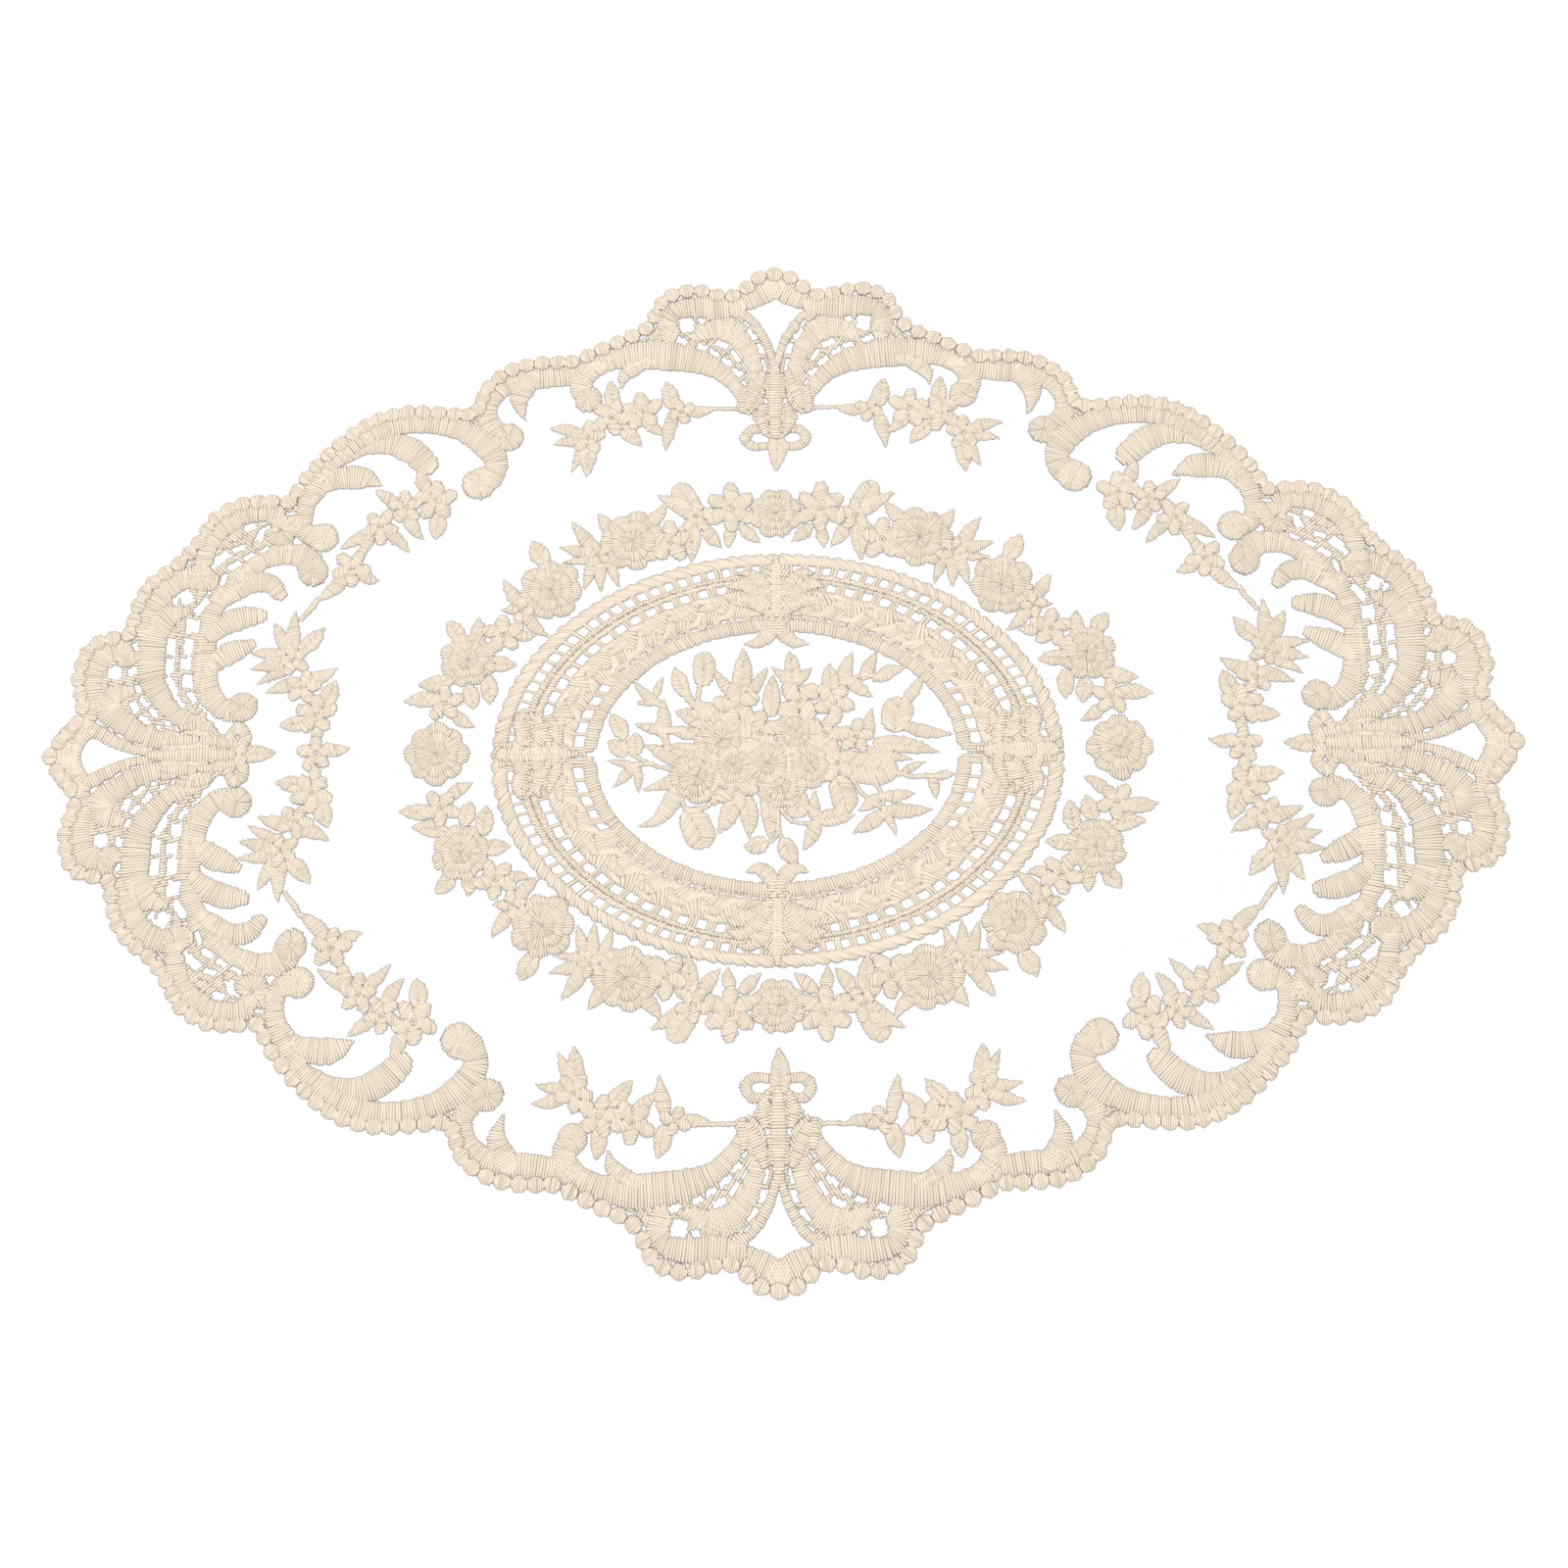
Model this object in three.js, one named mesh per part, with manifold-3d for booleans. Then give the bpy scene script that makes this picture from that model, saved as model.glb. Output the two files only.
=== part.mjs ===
// Embroidered placemat: a sheer ground cloth with satin-stitch scrolls, garlands,
// a wreath, an oval medallion and a bouquet, edged with small round picots.
// One solid: the ground with the stitched areas raised on its upper side.
// Millimetres, +Z up, the underside on z = 0, the long side along X.
import * as THREE from 'three';
import { mergeVertices } from 'three/addons/utils/BufferGeometryUtils.js';
import Module from 'manifold-3d';

const GROUND_THICK = 1.0;
const STITCH_TOP = 2.0;
const PICOT_RADIUS = 2.75;
const PICOT_SIDES = 6;
const EDGE_CORD = 4.2;
const CENTRE_Y = -2.0;
const WREATH_Y = -1.2;
const RING_STEPS = 36;
const ISLAND_BASE = 0.5;
const PEAK_BASE = 0.8;
const PEAK_SPREAD = (STITCH_TOP - PEAK_BASE) / (STITCH_TOP - GROUND_THICK);
const SMALLEST_AREA = 8.0;
const TOLERANCE = 0.85;
const EDGE_TOLERANCE = 0.35;

const SAND = new THREE.MeshStandardMaterial({ color: 0xe8dac8, roughness: 0.75, metalness: 0 });

// The border, garlands and wreath are drawn for the quarter where x and y are positive.
// Picot path along the scalloped edge. Columns: x, y, picots up to the next row.
const EDGE = [
  [0, 158.4, 2], [7.5, 153.6, 2], [16.5, 150.6, 1], [20.3, 152.5, 2], [29.5, 153.6, 1],
  [34.6, 151.5, 2], [39.3, 142.2, 1], [41.5, 138.2, 2], [50.5, 135.3, 2], [60, 130.8, 1],
  [65, 129.0, 2], [74.5, 128.9, 2], [84, 126.7, 2], [92, 120.6, 2], [94.6, 112.8, 1],
  [97.5, 111.4, 2], [107, 112.2, 2], [117, 112.6, 2], [126.5, 110.2, 2], [134.6, 105.3, 2],
  [142.2, 98.3, 2], [148.8, 90.4, 2], [153.6, 82.2, 1], [158.6, 82.9, 2], [168.2, 82.2, 2],
  [176.6, 77.2, 2], [181.5, 69.2, 2], [187.2, 62.3, 2], [194.8, 56.2, 2], [199.2, 48.3, 2],
  [201, 39.2, 1], [205.6, 38.4, 1], [210.4, 37, 1], [213.8, 33.4, 2], [216, 24.4, 2],
  [213.5, 15.5, 1], [214.8, 11, 2], [219.8, 4.8, 1], [222.6, 0, 0],
];

// Satin scrolls and long leaves of the border. Columns: x, y, wide.
const SCROLLS = [
  [[0, 153.3, 7], [6, 151.6, 6], [13, 147.8, 4]],
  [[13, 146.2, 3.4], [8, 142, 3.4], [4, 136, 3.2], [1, 128, 2.6], [0, 120, 2]],
  [[12.5, 147.6, 5], [19, 147.6, 6], [26, 147.2, 6.5], [31.6, 145.4, 6.6], [34.4, 141.6, 6.4], [33.6, 137.4, 6]],
  [[24.5, 137.2, 3.5], [20, 139, 5.5], [14.5, 138.6, 7], [10, 135, 6.5], [7.2, 129, 5.5], [5.5, 120, 5]],
  [
    [9.5, 117, 5], [13, 121.5, 5.5], [18.5, 126.3, 6.5], [26, 129.3, 8], [35, 130.4, 8.8],
    [44, 130.6, 8], [51.5, 128.8, 6.5], [57.5, 125, 6], [60.5, 119.5, 6], [58, 115.2, 7.5],
  ],
  [[40, 127.6, 3], [44.5, 126, 4.6], [47.6, 123, 3.6], [48.7, 119.5, 0.4]],
  [
    [56, 127, 4.5], [62, 125, 5.5], [70, 123.6, 5.5], [78, 123.2, 5.8], [85, 121.2, 5.8],
    [90, 116, 5.8], [91.3, 110, 5.8], [88.5, 104.5, 6.5], [83.8, 102.4, 8.4],
  ],
  [[78, 121.8, 5.5], [80.6, 117, 5.6], [80.8, 112.8, 3.6], [79.2, 108.7, 0.4]],
  [
    [94.5, 87.4, 9.4], [90.3, 88.6, 8.6], [87.8, 93, 6.5], [89, 98, 6.5], [93, 102.8, 6],
    [99.5, 106, 5.2], [107.5, 107.9, 5], [116, 108.4, 5], [124, 106.7, 5.2], [132, 102.4, 5.5],
    [138.5, 96.7, 6], [143.5, 90.2, 5.8], [147, 83, 5.4], [148.2, 76.5, 5], [147, 71.5, 5.5],
    [142, 70, 8.4],
  ],
  [[130, 102.6, 3], [122.5, 101.5, 6], [116, 99, 7.6], [111.2, 94.6, 7.4]],
  [[143, 88.4, 4], [136, 90.2, 6.8], [130, 90, 6.6], [124.6, 87.4, 0.8]],
  [[152.6, 75.4, 6], [157, 78.6, 5], [163, 78.9, 5], [169.5, 77, 5.2],
    [174.8, 73, 5.5], [178, 67.5, 5.6], [178.8, 60.5, 5.6]],
  [[160.5, 69.3, 4], [166, 71.2, 5.6], [171.5, 70.4, 6], [175.8, 66, 6]],
  [
    [177.8, 57, 7.6], [182.5, 57.8, 5.8], [187.2, 56.8, 5.6], [191.8, 53.2, 6],
    [194.8, 47.6, 6.2], [195.5, 41, 6.4],
  ],
  [
    [182.5, 47.4, 3], [187.6, 45.2, 6], [191.6, 40, 7.6], [193, 33, 8], [192.4, 25, 7.6],
    [188.6, 18, 6.2], [182.3, 12.3, 6], [175.5, 8.4, 5.6],
  ],
  [
    [144.2, 58.6, 8.4], [146.2, 62.6, 8], [151, 64.3, 6.5], [157.5, 63.8, 6], [164, 60.6, 6],
    [170, 55.6, 6], [174.3, 49, 6.2], [176.6, 41, 6.6], [176.9, 33, 6.8], [176.2, 25, 6.8],
    [173.2, 17.6, 6.6], [168.6, 13.9, 6.6], [163.6, 15.2, 8.4],
  ],
  [[170, 53.2, 4], [164, 55.8, 6.4], [158.6, 56.2, 5.8], [154.6, 52.4, 4.8]],
  [[175, 42.2, 3], [168, 44.3, 6], [161, 45.2, 5]],
  [[176, 30, 4], [169.5, 33.4, 6.4], [163.6, 35.4, 4]],
  [[199.6, 31.5, 5], [203, 34.4, 6], [207.4, 33.4, 6.4], [210.4, 29.2, 6.2], [211.6, 23.4, 6],
    [210.8, 17, 6], [211.6, 11.5, 5]],
  [[199, 20.6, 3], [203.4, 19.4, 6], [205, 15.4, 7], [201, 11.2, 6.4], [194, 7.6, 6],
    [186, 4.8, 6], [176, 2.2, 6]],
  [[211.5, 10.2, 3.2], [205, 6.6, 3.2], [198, 3.6, 2.8], [188, 1.2, 2.4]],
  [[213.5, 10.5, 5], [217, 6, 6.4], [218.6, 0, 7]],
  [[163.5, 1.5, 3], [161.8, 5.2, 3.6], [164.2, 8.4, 3.4]],
  [[3.4, 103.4, 2.6], [7.2, 104, 3.2], [9.6, 101, 3.2], [7, 98.5, 3]],
];

// Dense stitched fans where the scrolls meet. Columns: x, y.
const FANS = [
  [[0, 124.5], [4.6, 122.6], [9.6, 118.6], [11.6, 114.4], [12.4, 110.4], [8, 109], [4.6, 105.4],
    [3, 101.6], [0, 100.4]],
  [[189, 0], [186, 4.6], [180, 9], [174.6, 11.2], [171.8, 8.2], [169.4, 5.6], [165, 4.6],
    [161.4, 2.6], [161, 0]],
];

// Round ends of the curls. Columns: x, y, radius.
const CURLS = [
  [155, 72, 4.4], [31.6, 137.4, 3.2], [56.6, 114.8, 3.4], [84, 102.4, 4.6], [94.2, 87.4, 5],
  [141.6, 70, 4.6], [144.2, 58.8, 4.6], [163.6, 15.2, 4.4], [178.6, 57, 4], [200.6, 31.4, 3.2],
];

// Leaves, from base to tip. Columns: base x, base y, tip x, tip y, wide.
const BORDER_LEAVES = [
  [0, 103, 0, 90, 5.6], [164, 0, 153, 0, 4.6], [33, 112, 31.6, 121.4, 4.6],
  [32, 109.5, 33.3, 98, 4.6], [50.6, 111, 51.3, 121, 4.2], [48, 105.5, 41.3, 98.8, 4.4],
  [60.5, 103.2, 70, 105.4, 3.8], [58.2, 99.4, 58.3, 89.3, 4.4], [108, 84.6, 112.8, 91.4, 4.4],
  [105.6, 79, 106.3, 68.8, 5.2], [117, 80.4, 125.7, 86, 4], [114, 77.6, 110, 69.2, 4.2],
  [134, 56.4, 142.4, 49.6, 4.2], [150, 29.6, 161.2, 27.2, 4.4], [147.4, 32.6, 140.2, 40, 4.6],
  [143.2, 22.6, 135, 27.1, 4], [139.6, 15, 135, 22.4, 4.6], [142.6, 10.8, 151.4, 8.6, 4.2],
];
const WREATH_LEAVES = [
  [12, 73.2, 5.3, 67.4, 4], [14.4, 73, 14.8, 65.6, 3.8], [26, 79.8, 31.2, 86.4, 5.2],
  [28, 80.4, 36.6, 83.6, 4.2], [25.4, 75, 26.4, 62, 4.8], [22.4, 75, 17.8, 66, 4],
  [38.4, 73, 34.4, 79, 4.2], [50.6, 72, 55.4, 77.2, 5], [57, 64.6, 63.2, 74.6, 4],
  [57.6, 63.8, 67.4, 66, 3.8], [56.6, 62, 59.4, 52.6, 3.8], [55, 62, 54, 52, 4],
  [71.6, 59.6, 75.6, 69, 6.4], [78.4, 47.6, 83.8, 56, 4.6], [76.6, 45, 71.2, 37.6, 4],
  [97.6, 35.4, 101.6, 42.8, 4.4], [92, 35.8, 91.8, 43.6, 4.4], [88, 29.4, 80, 28, 5],
  [89.4, 23, 87.8, 15.8, 4.8], [100.6, 24, 109.6, 22.4, 4.8], [105.4, 16.4, 114, 16.4, 4.8],
  [94.4, 20.8, 92.4, 13.8, 4.8],
];
const BOUQUET_LEAVES = [
  [-11, 18, -10.3, 31.5, 5.6], [-13, 17, -18.8, 25.6, 4], [-25, 14.6, -30.6, 26, 4.8],
  [-34, 6, -35.2, 15.6, 4.8], [-20, 4.4, -30.2, 12, 5.8], [-46.8, 4, -50, 11.2, 4.8],
  [-45, -0.4, -51.2, 2.4, 4.6], [-41, -1.6, -43, 5.2, 4.4], [-29, -4, -40, 1.4, 4.2],
  [-20, -1, -34, 1.2, 5], [-28, -6.8, -40.4, -12, 3.8], [-27, -10, -40.6, -23.4, 4.8],
  [-13.6, -16, -17.4, -25.6, 4.8], [-9.2, -16, -8.6, -26.2, 5], [-3, -15, -2.4, -28.2, 5],
  [-1, -25.6, -9.2, -30.2, 4.6], [-0.6, -24, 5, -35.2, 4], [4.6, -14, 5.6, -20.8, 7],
  [-1.2, 13, -0.8, 22.6, 4.2], [4.8, 18, 3.8, 30.4, 4.4], [17, 18, 16, 26.2, 4.4],
  [20, 19, 23.4, 30, 4.2], [26, 22.4, 30.2, 29.4, 4], [30, 22, 39.2, 25.2, 4],
  [23, 21.6, 28.6, 16, 3.8], [28, 4.4, 28.6, 12.2, 3.8], [31, 1.6, 48.2, -1, 5],
  [19, -4.6, 36, -7, 8.4], [30.4, -15.6, 24.4, -19.2, 4], [32, -19, 46.2, -19.2, 4.2],
  [32, -20.6, 23, -26, 4.4], [18, -9, 21.2, -19.4, 7.4], [11.5, -22.6, 11.6, -13.8, 3.8],
  [11.6, -22.6, 23, -21, 5], [11.2, -22.6, 8, -31, 3.8],
];

// Open flowers. Columns: x, y, radius, petals, turned (degrees).
const BORDER_FLOWERS = [
  [29, 110.6, 3.6, 4, 45], [41, 110.7, 5.2, 5, 80], [50, 109, 5.2, 5, 20], [59, 102, 4.8, 5, 75],
  [106.2, 81.4, 5.6, 5, 92], [115.6, 79.8, 4.8, 5, 85], [124.6, 73.2, 5.2, 5, 50],
  [132.2, 60.2, 5.2, 5, 60], [148.6, 30.6, 3.8, 5, 0], [145, 21.8, 4.4, 5, 30],
  [140.6, 12.8, 4.8, 5, 0], [139.6, 0, 5, 6, 30],
];
const WREATH_FLOWERS = [
  [0, 78.4, 7.6, 6, 30], [14.3, 78.2, 7.4, 6, 90], [25.4, 77.4, 3.6, 5, 20], [33.2, 68.8, 5.2, 5, 90],
  [56, 63.6, 3.6, 5, 0], [79, 45.8, 3, 4, 0], [83, 38.4, 5.4, 5, 10], [94.6, 29.2, 9.2, 8, 20],
  [101.6, 15.4, 5.2, 5, 20], [44.8, 68.8, 9, 8, 0], [70, 53.6, 8.8, 8, 0], [103.4, 0, 9.4, 10, 0],
];
const BOUQUET_FLOWERS = [
  [-12.6, 13.2, 6.8, 7, 0], [-16, 4, 8, 9, 10], [-5.4, 6.4, 6.6, 6, 0], [7, 4.6, 6.6, 7, 0],
  [5, 15.4, 6.2, 4, 45], [16.8, 14.8, 5.8, 6, 0], [15, 5, 5, 5, 0], [24.4, 3.4, 5, 5, 10],
  [-12, -13, 6, 8, 0], [1, -13, 7.6, 9, 0], [36.6, 9.6, 5.2, 5, 90], [-22.3, 25.4, 4, 4, 45],
  [-25.4, -24.4, 5.6, 6, 0], [-3, -3.6, 8.6, 8, 0], [12, -4.6, 8.4, 8, 0], [-24, -9.6, 8.6, 8, 0],
];

// Stitched ovals of the medallion. Columns: half length, half width, wide.
const OVALS = [[84.6, 61.6, 4.6], [69, 47.6, 9], [57.6, 40.8, 4]];

// Ornaments over the ovals at the medallion's four ends. Columns: x, y, wide, of one arm.
const END_ARMS = [
  [[58, 0, 3], [62, 0, 5], [72, 1, 6.6], [86, 1.6, 6]], [[70, 1, 4], [75, 6, 6], [78, 10, 4]],
  [[69, 2, 4], [64.4, 6, 6.4], [62, 12, 5]], [[0, 38, 7], [0.6, 50, 8], [1.6, 63, 7]],
  [[2, 44, 4], [8, 47, 6], [14, 47.4, 6]], [[2, 50, 4], [8, 54, 6], [14, 55, 3]],
];

// Openings cut through the cloth inside the four tips. Columns: x, y, of one half.
const TIP_OPENINGS = {
  long: [[214, 0], [212.8, 2.4], [209.4, 5.2], [205.2, 3.2], [200.4, 1.2], [196.8, 0]],
  short: [[0, 150], [2.6, 149], [6.8, 146.2], [4.6, 142], [2.2, 137], [0, 133]],
};

const QUARTERS = [[1, 1], [-1, 1], [-1, -1], [1, -1]];

const wasm = await Module();
wasm.setup();

function toSolid(geometry) {
  const bare = geometry.clone();
  bare.deleteAttribute('normal');
  bare.deleteAttribute('uv');
  const merged = mergeVertices(bare, 1e-4);
  return new wasm.Manifold(new wasm.Mesh({
    numProp: 3,
    vertProperties: new Float32Array(merged.attributes.position.array),
    triVerts: new Uint32Array(merged.index.array),
  }));
}

function prism(points, height, base = 0) {
  const shape = new THREE.Shape(points.map(([x, y]) => new THREE.Vector2(x, y)));
  const geometry = new THREE.ExtrudeGeometry(shape, { depth: height, bevelEnabled: false });
  geometry.translate(0, 0, base);
  return toSolid(geometry);
}

// A low pyramid over an outline, for a stitched leaf or flower standing on the ground.
function peak(points) {
  const count = points.length;
  const middle = [0, 1].map((axis) => points.reduce((sum, point) => sum + point[axis], 0) / count);
  const geometry = new THREE.ConeGeometry(1, 1, count);
  const at = geometry.attributes.position;
  const turnStep = (2 * Math.PI) / count;
  const around = THREE.ShapeUtils.area(points.map(([x, y]) => ({ x, y }))) > 0 ? points : [...points].reverse();
  for (let v = 0; v < at.count; v += 1) {
    const isTop = at.getY(v) > 0;
    const isRim = Math.hypot(at.getX(v), at.getZ(v)) > 0.5;
    const index = Math.round(Math.atan2(at.getX(v), at.getZ(v)) / turnStep + count) % count;
    const [x, y] = isRim ? around[index] : middle;
    const spread = isRim ? PEAK_SPREAD : 1;
    at.setXYZ(v, middle[0] + (x - middle[0]) * spread, middle[1] + (y - middle[1]) * spread,
      isTop ? STITCH_TOP : PEAK_BASE);
  }
  return toSolid(geometry);
}

// Mirror copies of an outline, with only one for a motif that stands on an axis.
function quarterCopies(points, middleY = 0, [anchorX, anchorY] = [1, 1]) {
  return QUARTERS
    .filter(([sx, sy]) => (anchorX !== 0 || sx > 0) && (anchorY !== 0 || sy > 0))
    .map(([sx, sy]) => points.map(([x, y]) => [sx * x, sy * y + middleY]));
}

// Outline of a satin band: both sides of a smooth middle line, with rounded ends.
function band(rows, stepsPerSpan = 2) {
  const line = new THREE.SplineCurve(rows.map(([x, y]) => new THREE.Vector2(x, y)));
  const steps = (rows.length - 1) * stepsPerSpan;
  const left = [];
  const right = [];
  for (let i = 0; i <= steps; i += 1) {
    const t = i / steps;
    const row = Math.min(Math.floor(t * (rows.length - 1)), rows.length - 2);
    const part = t * (rows.length - 1) - row;
    const half = (rows[row][2] * (1 - part) + rows[row + 1][2] * part) / 2;
    const at = line.getPoint(t);
    const along = line.getTangent(t);
    left.push([at.x - along.y * half, at.y + along.x * half]);
    right.push([at.x + along.y * half, at.y - along.x * half]);
  }
  const last = rows.length - 1;
  const start = cap(rows[0], line.getTangent(0), -1);
  const end = cap(rows[last], line.getTangent(1), 1);
  return [...left, end, ...right.reverse(), start];
}

function cap([x, y, wide], along, side) {
  const reach = side * Math.max(0.45 * wide, 0.2);
  return [x + along.x * reach, y + along.y * reach];
}

function leaf([bx, by, tx, ty, wide]) {
  const dx = tx - bx;
  const dy = ty - by;
  const length = Math.hypot(dx, dy);
  const nx = (-dy / length) * wide * 0.5;
  const ny = (dx / length) * wide * 0.5;
  const at = (t, s) => [bx + dx * t + nx * s, by + dy * t + ny * s];
  return [at(0, 0), at(0.4, 1), at(1, 0), at(0.4, -1)];
}

function flower([x, y, radius, petals, turned]) {
  return Array.from({ length: petals }, (_, i) => {
    const angle = THREE.MathUtils.degToRad(turned + (360 * i) / petals);
    return [x + radius * Math.cos(angle), y + radius * Math.sin(angle)];
  });
}

function ovalRing([halfLong, halfWide, wide], height) {
  const loop = (grow) => Array.from({ length: RING_STEPS }, (_, i) => {
    const angle = (2 * Math.PI * (i + 0.5)) / RING_STEPS;
    return [(halfLong + grow) * Math.cos(angle), (halfWide + grow) * Math.sin(angle) + CENTRE_Y];
  });
  return prism(loop(wide / 2), height).subtract(prism(loop(-wide / 2), height + 1, -0.5));
}

// Picot centres of one quarter, evenly spaced between the rows of the edge table.
function picots() {
  const line = new THREE.SplineCurve(EDGE.map(([x, y]) => new THREE.Vector2(x, y)));
  const centres = [];
  EDGE.forEach(([, , count], row) => {
    for (let i = 0; i < Math.max(count, 1); i += 1) {
      const t = (row + i / Math.max(count, 1)) / (EDGE.length - 1);
      if (t <= 1) {
        const at = line.getPoint(t);
        const along = line.getTangent(t);
        centres.push({ x: at.x, y: at.y, outward: Math.atan2(along.x, -along.y) });
      }
    }
  });
  return centres;
}

function picot({ x, y, outward }) {
  return Array.from({ length: PICOT_SIDES }, (_, i) => {
    const angle = outward + (2 * Math.PI * (i + 0.5)) / PICOT_SIDES;
    return [x + PICOT_RADIUS * Math.cos(angle), y + PICOT_RADIUS * Math.sin(angle)];
  });
}

function union(solids) {
  let level = solids;
  while (level.length > 1) {
    const next = [];
    for (let i = 0; i < level.length; i += 2) {
      next.push(i + 1 < level.length ? level[i].add(level[i + 1]) : level[i]);
    }
    level = next;
  }
  return level[0];
}

// Closed outlines of the flat faces at one height, counterclockwise round stitched areas.
function outlines(solid, height) {
  const { vertProperties: at, triVerts } = solid.getMesh();
  const edges = new Map();
  for (let t = 0; t < triVerts.length; t += 3) {
    const corner = [triVerts[t], triVerts[t + 1], triVerts[t + 2]];
    if (corner.every((v) => Math.abs(at[3 * v + 2] - height) < 1e-4)) {
      corner.forEach((v, k) => edges.set(`${v} ${corner[(k + 1) % 3]}`, [v, corner[(k + 1) % 3]]));
    }
  }
  const next = new Map();
  edges.forEach(([a, b]) => {
    if (!edges.has(`${b} ${a}`)) {
      next.set(a, b);
    }
  });
  const loops = [];
  while (next.size > 0) {
    const loop = [];
    let v = next.keys().next().value;
    while (next.has(v)) {
      const following = next.get(v);
      next.delete(v);
      loop.push([at[3 * v], at[3 * v + 1]]);
      v = following;
    }
    loops.push(loop);
  }
  return loops;
}

function area(loop) {
  return THREE.ShapeUtils.area(loop.map(([x, y]) => ({ x, y })));
}

function contains(loop, [x, y]) {
  let inside = false;
  loop.forEach(([ax, ay], i) => {
    const [bx, by] = loop[(i + 1) % loop.length];
    if (ay > y !== by > y && x < ax + ((y - ay) / (by - ay)) * (bx - ax)) {
      inside = !inside;
    }
  });
  return inside;
}

// Points of an open run that stray from its chord by more than the tolerance.
function kept(run, tolerance) {
  const [ax, ay] = run[0];
  const [bx, by] = run[run.length - 1];
  const length = Math.hypot(bx - ax, by - ay) || 1;
  let worst = 0;
  let most = tolerance;
  for (let i = 1; i < run.length - 1; i += 1) {
    const off = Math.abs((bx - ax) * (run[i][1] - ay) - (by - ay) * (run[i][0] - ax)) / length;
    if (off > most) {
      most = off;
      worst = i;
    }
  }
  if (worst === 0) {
    return [run[0]];
  }
  return [...kept(run.slice(0, worst + 1), tolerance), ...kept(run.slice(worst), tolerance)];
}

function thinned(loop, tolerance) {
  let far = 0;
  let reach = 0;
  loop.forEach(([x, y], i) => {
    const distance = Math.hypot(x - loop[0][0], y - loop[0][1]);
    if (distance > reach) {
      reach = distance;
      far = i;
    }
  });
  const run = [...kept(loop.slice(0, far + 1), tolerance), ...kept([...loop.slice(far), loop[0]], tolerance)];
  return run.filter((point, i) => {
    const before = run[(i + run.length - 1) % run.length];
    return Math.abs(turn(before, point, run[(i + 1) % run.length])) > 0.02;
  });
}

function turn([ax, ay], [bx, by], [cx, cy]) {
  return (bx - ax) * (cy - ay) - (by - ay) * (cx - ax);
}

function crossesItself(loop) {
  const count = loop.length;
  for (let i = 0; i < count; i += 1) {
    const a = loop[i];
    const b = loop[(i + 1) % count];
    for (let k = i + 2; k < count - (i === 0 ? 1 : 0); k += 1) {
      const c = loop[k];
      const d = loop[(k + 1) % count];
      if (turn(a, b, c) * turn(a, b, d) < -1e-9 && turn(c, d, a) * turn(c, d, b) < -1e-9) {
        return true;
      }
    }
  }
  return false;
}

// The thinnest outline within the tolerance that doesn't cross itself.
function simplified(loop, tolerance) {
  const thin = thinned(loop, tolerance);
  return crossesItself(thin) && tolerance > 0.02 ? simplified(loop, tolerance * 0.7) : thin;
}

const edge = picots();
const rim = edge.map(({ x, y }) => [x, y]);
const stitches = [];
const stitch = (points) => stitches.push(prism(points, STITCH_TOP));
const stitchQuarters = (points, middleY) => quarterCopies(points, middleY).forEach(stitch);

edge.forEach((place) => stitchQuarters(picot(place)));
stitchQuarters([...rim, ...rim.map(([x, y], i) => [
  x - EDGE_CORD * Math.cos(edge[i].outward),
  y - EDGE_CORD * Math.sin(edge[i].outward),
]).reverse()]);
SCROLLS.forEach((rows) => stitchQuarters(band(rows)));
CURLS.forEach(([x, y, radius]) => stitchQuarters(flower([x, y, radius, 6, 0])));
FANS.forEach((points) => stitchQuarters(points));
END_ARMS.forEach((rows) => stitchQuarters(band(rows, 1), CENTRE_Y));
OVALS.forEach((row) => stitches.push(ovalRing(row, STITCH_TOP)));

const loops = outlines(union(stitches), STITCH_TOP)
  .filter((loop) => Math.abs(area(loop)) > SMALLEST_AREA)
  .map((loop) => simplified(loop, Math.abs(area(loop)) > 9e4 ? EDGE_TOLERANCE : TOLERANCE))
  .filter((loop) => loop.length > 2);
const depth = loops.map((loop) => loops.filter((other) => other !== loop && contains(other, loop[0])).length);

// The whole outline at full height, then wells down to the ground and islands in them.
let cloth = null;
for (let level = 0; level <= Math.max(...depth); level += 1) {
  const layer = loops.filter((_, i) => depth[i] === level);
  if (level === 0) {
    cloth = union(layer.map((loop) => prism(loop, STITCH_TOP)));
  } else if (level % 2 === 1) {
    cloth = cloth.subtract(union(layer.map((loop) => prism(loop, STITCH_TOP, GROUND_THICK))));
  } else {
    cloth = cloth.add(union(layer.map((loop) => prism(loop, STITCH_TOP - ISLAND_BASE, ISLAND_BASE))));
  }
}

const peaks = [];
const rise = (points) => peaks.push(peak(points));
const riseQuarters = (points, middleY, anchor) => quarterCopies(points, middleY, anchor).forEach(rise);
BORDER_LEAVES.forEach((row) => riseQuarters(leaf(row), 0, row.slice(2, 4)));
BORDER_FLOWERS.forEach((row) => riseQuarters(flower(row), 0, row));
WREATH_LEAVES.forEach((row) => riseQuarters(leaf(row), WREATH_Y, row.slice(2, 4)));
WREATH_FLOWERS.forEach((row) => riseQuarters(flower(row), WREATH_Y, row));
BOUQUET_LEAVES.forEach((row) => rise(leaf(row)));
BOUQUET_FLOWERS.forEach((row) => rise(flower(row)));
cloth = cloth.add(union(peaks));

const openings = [];
[1, -1].forEach((side) => {
  const long = TIP_OPENINGS.long.map(([x, y]) => [side * x, y]);
  const short = TIP_OPENINGS.short.map(([x, y]) => [x, side * y]);
  openings.push([...long, ...long.slice(1, -1).reverse().map(([x, y]) => [x, -y])]);
  openings.push([...short, ...short.slice(1, -1).reverse().map(([x, y]) => [-x, y])]);
});
cloth = cloth.subtract(union(openings.map((points) => prism(points, 2 * STITCH_TOP, -1))));

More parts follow.
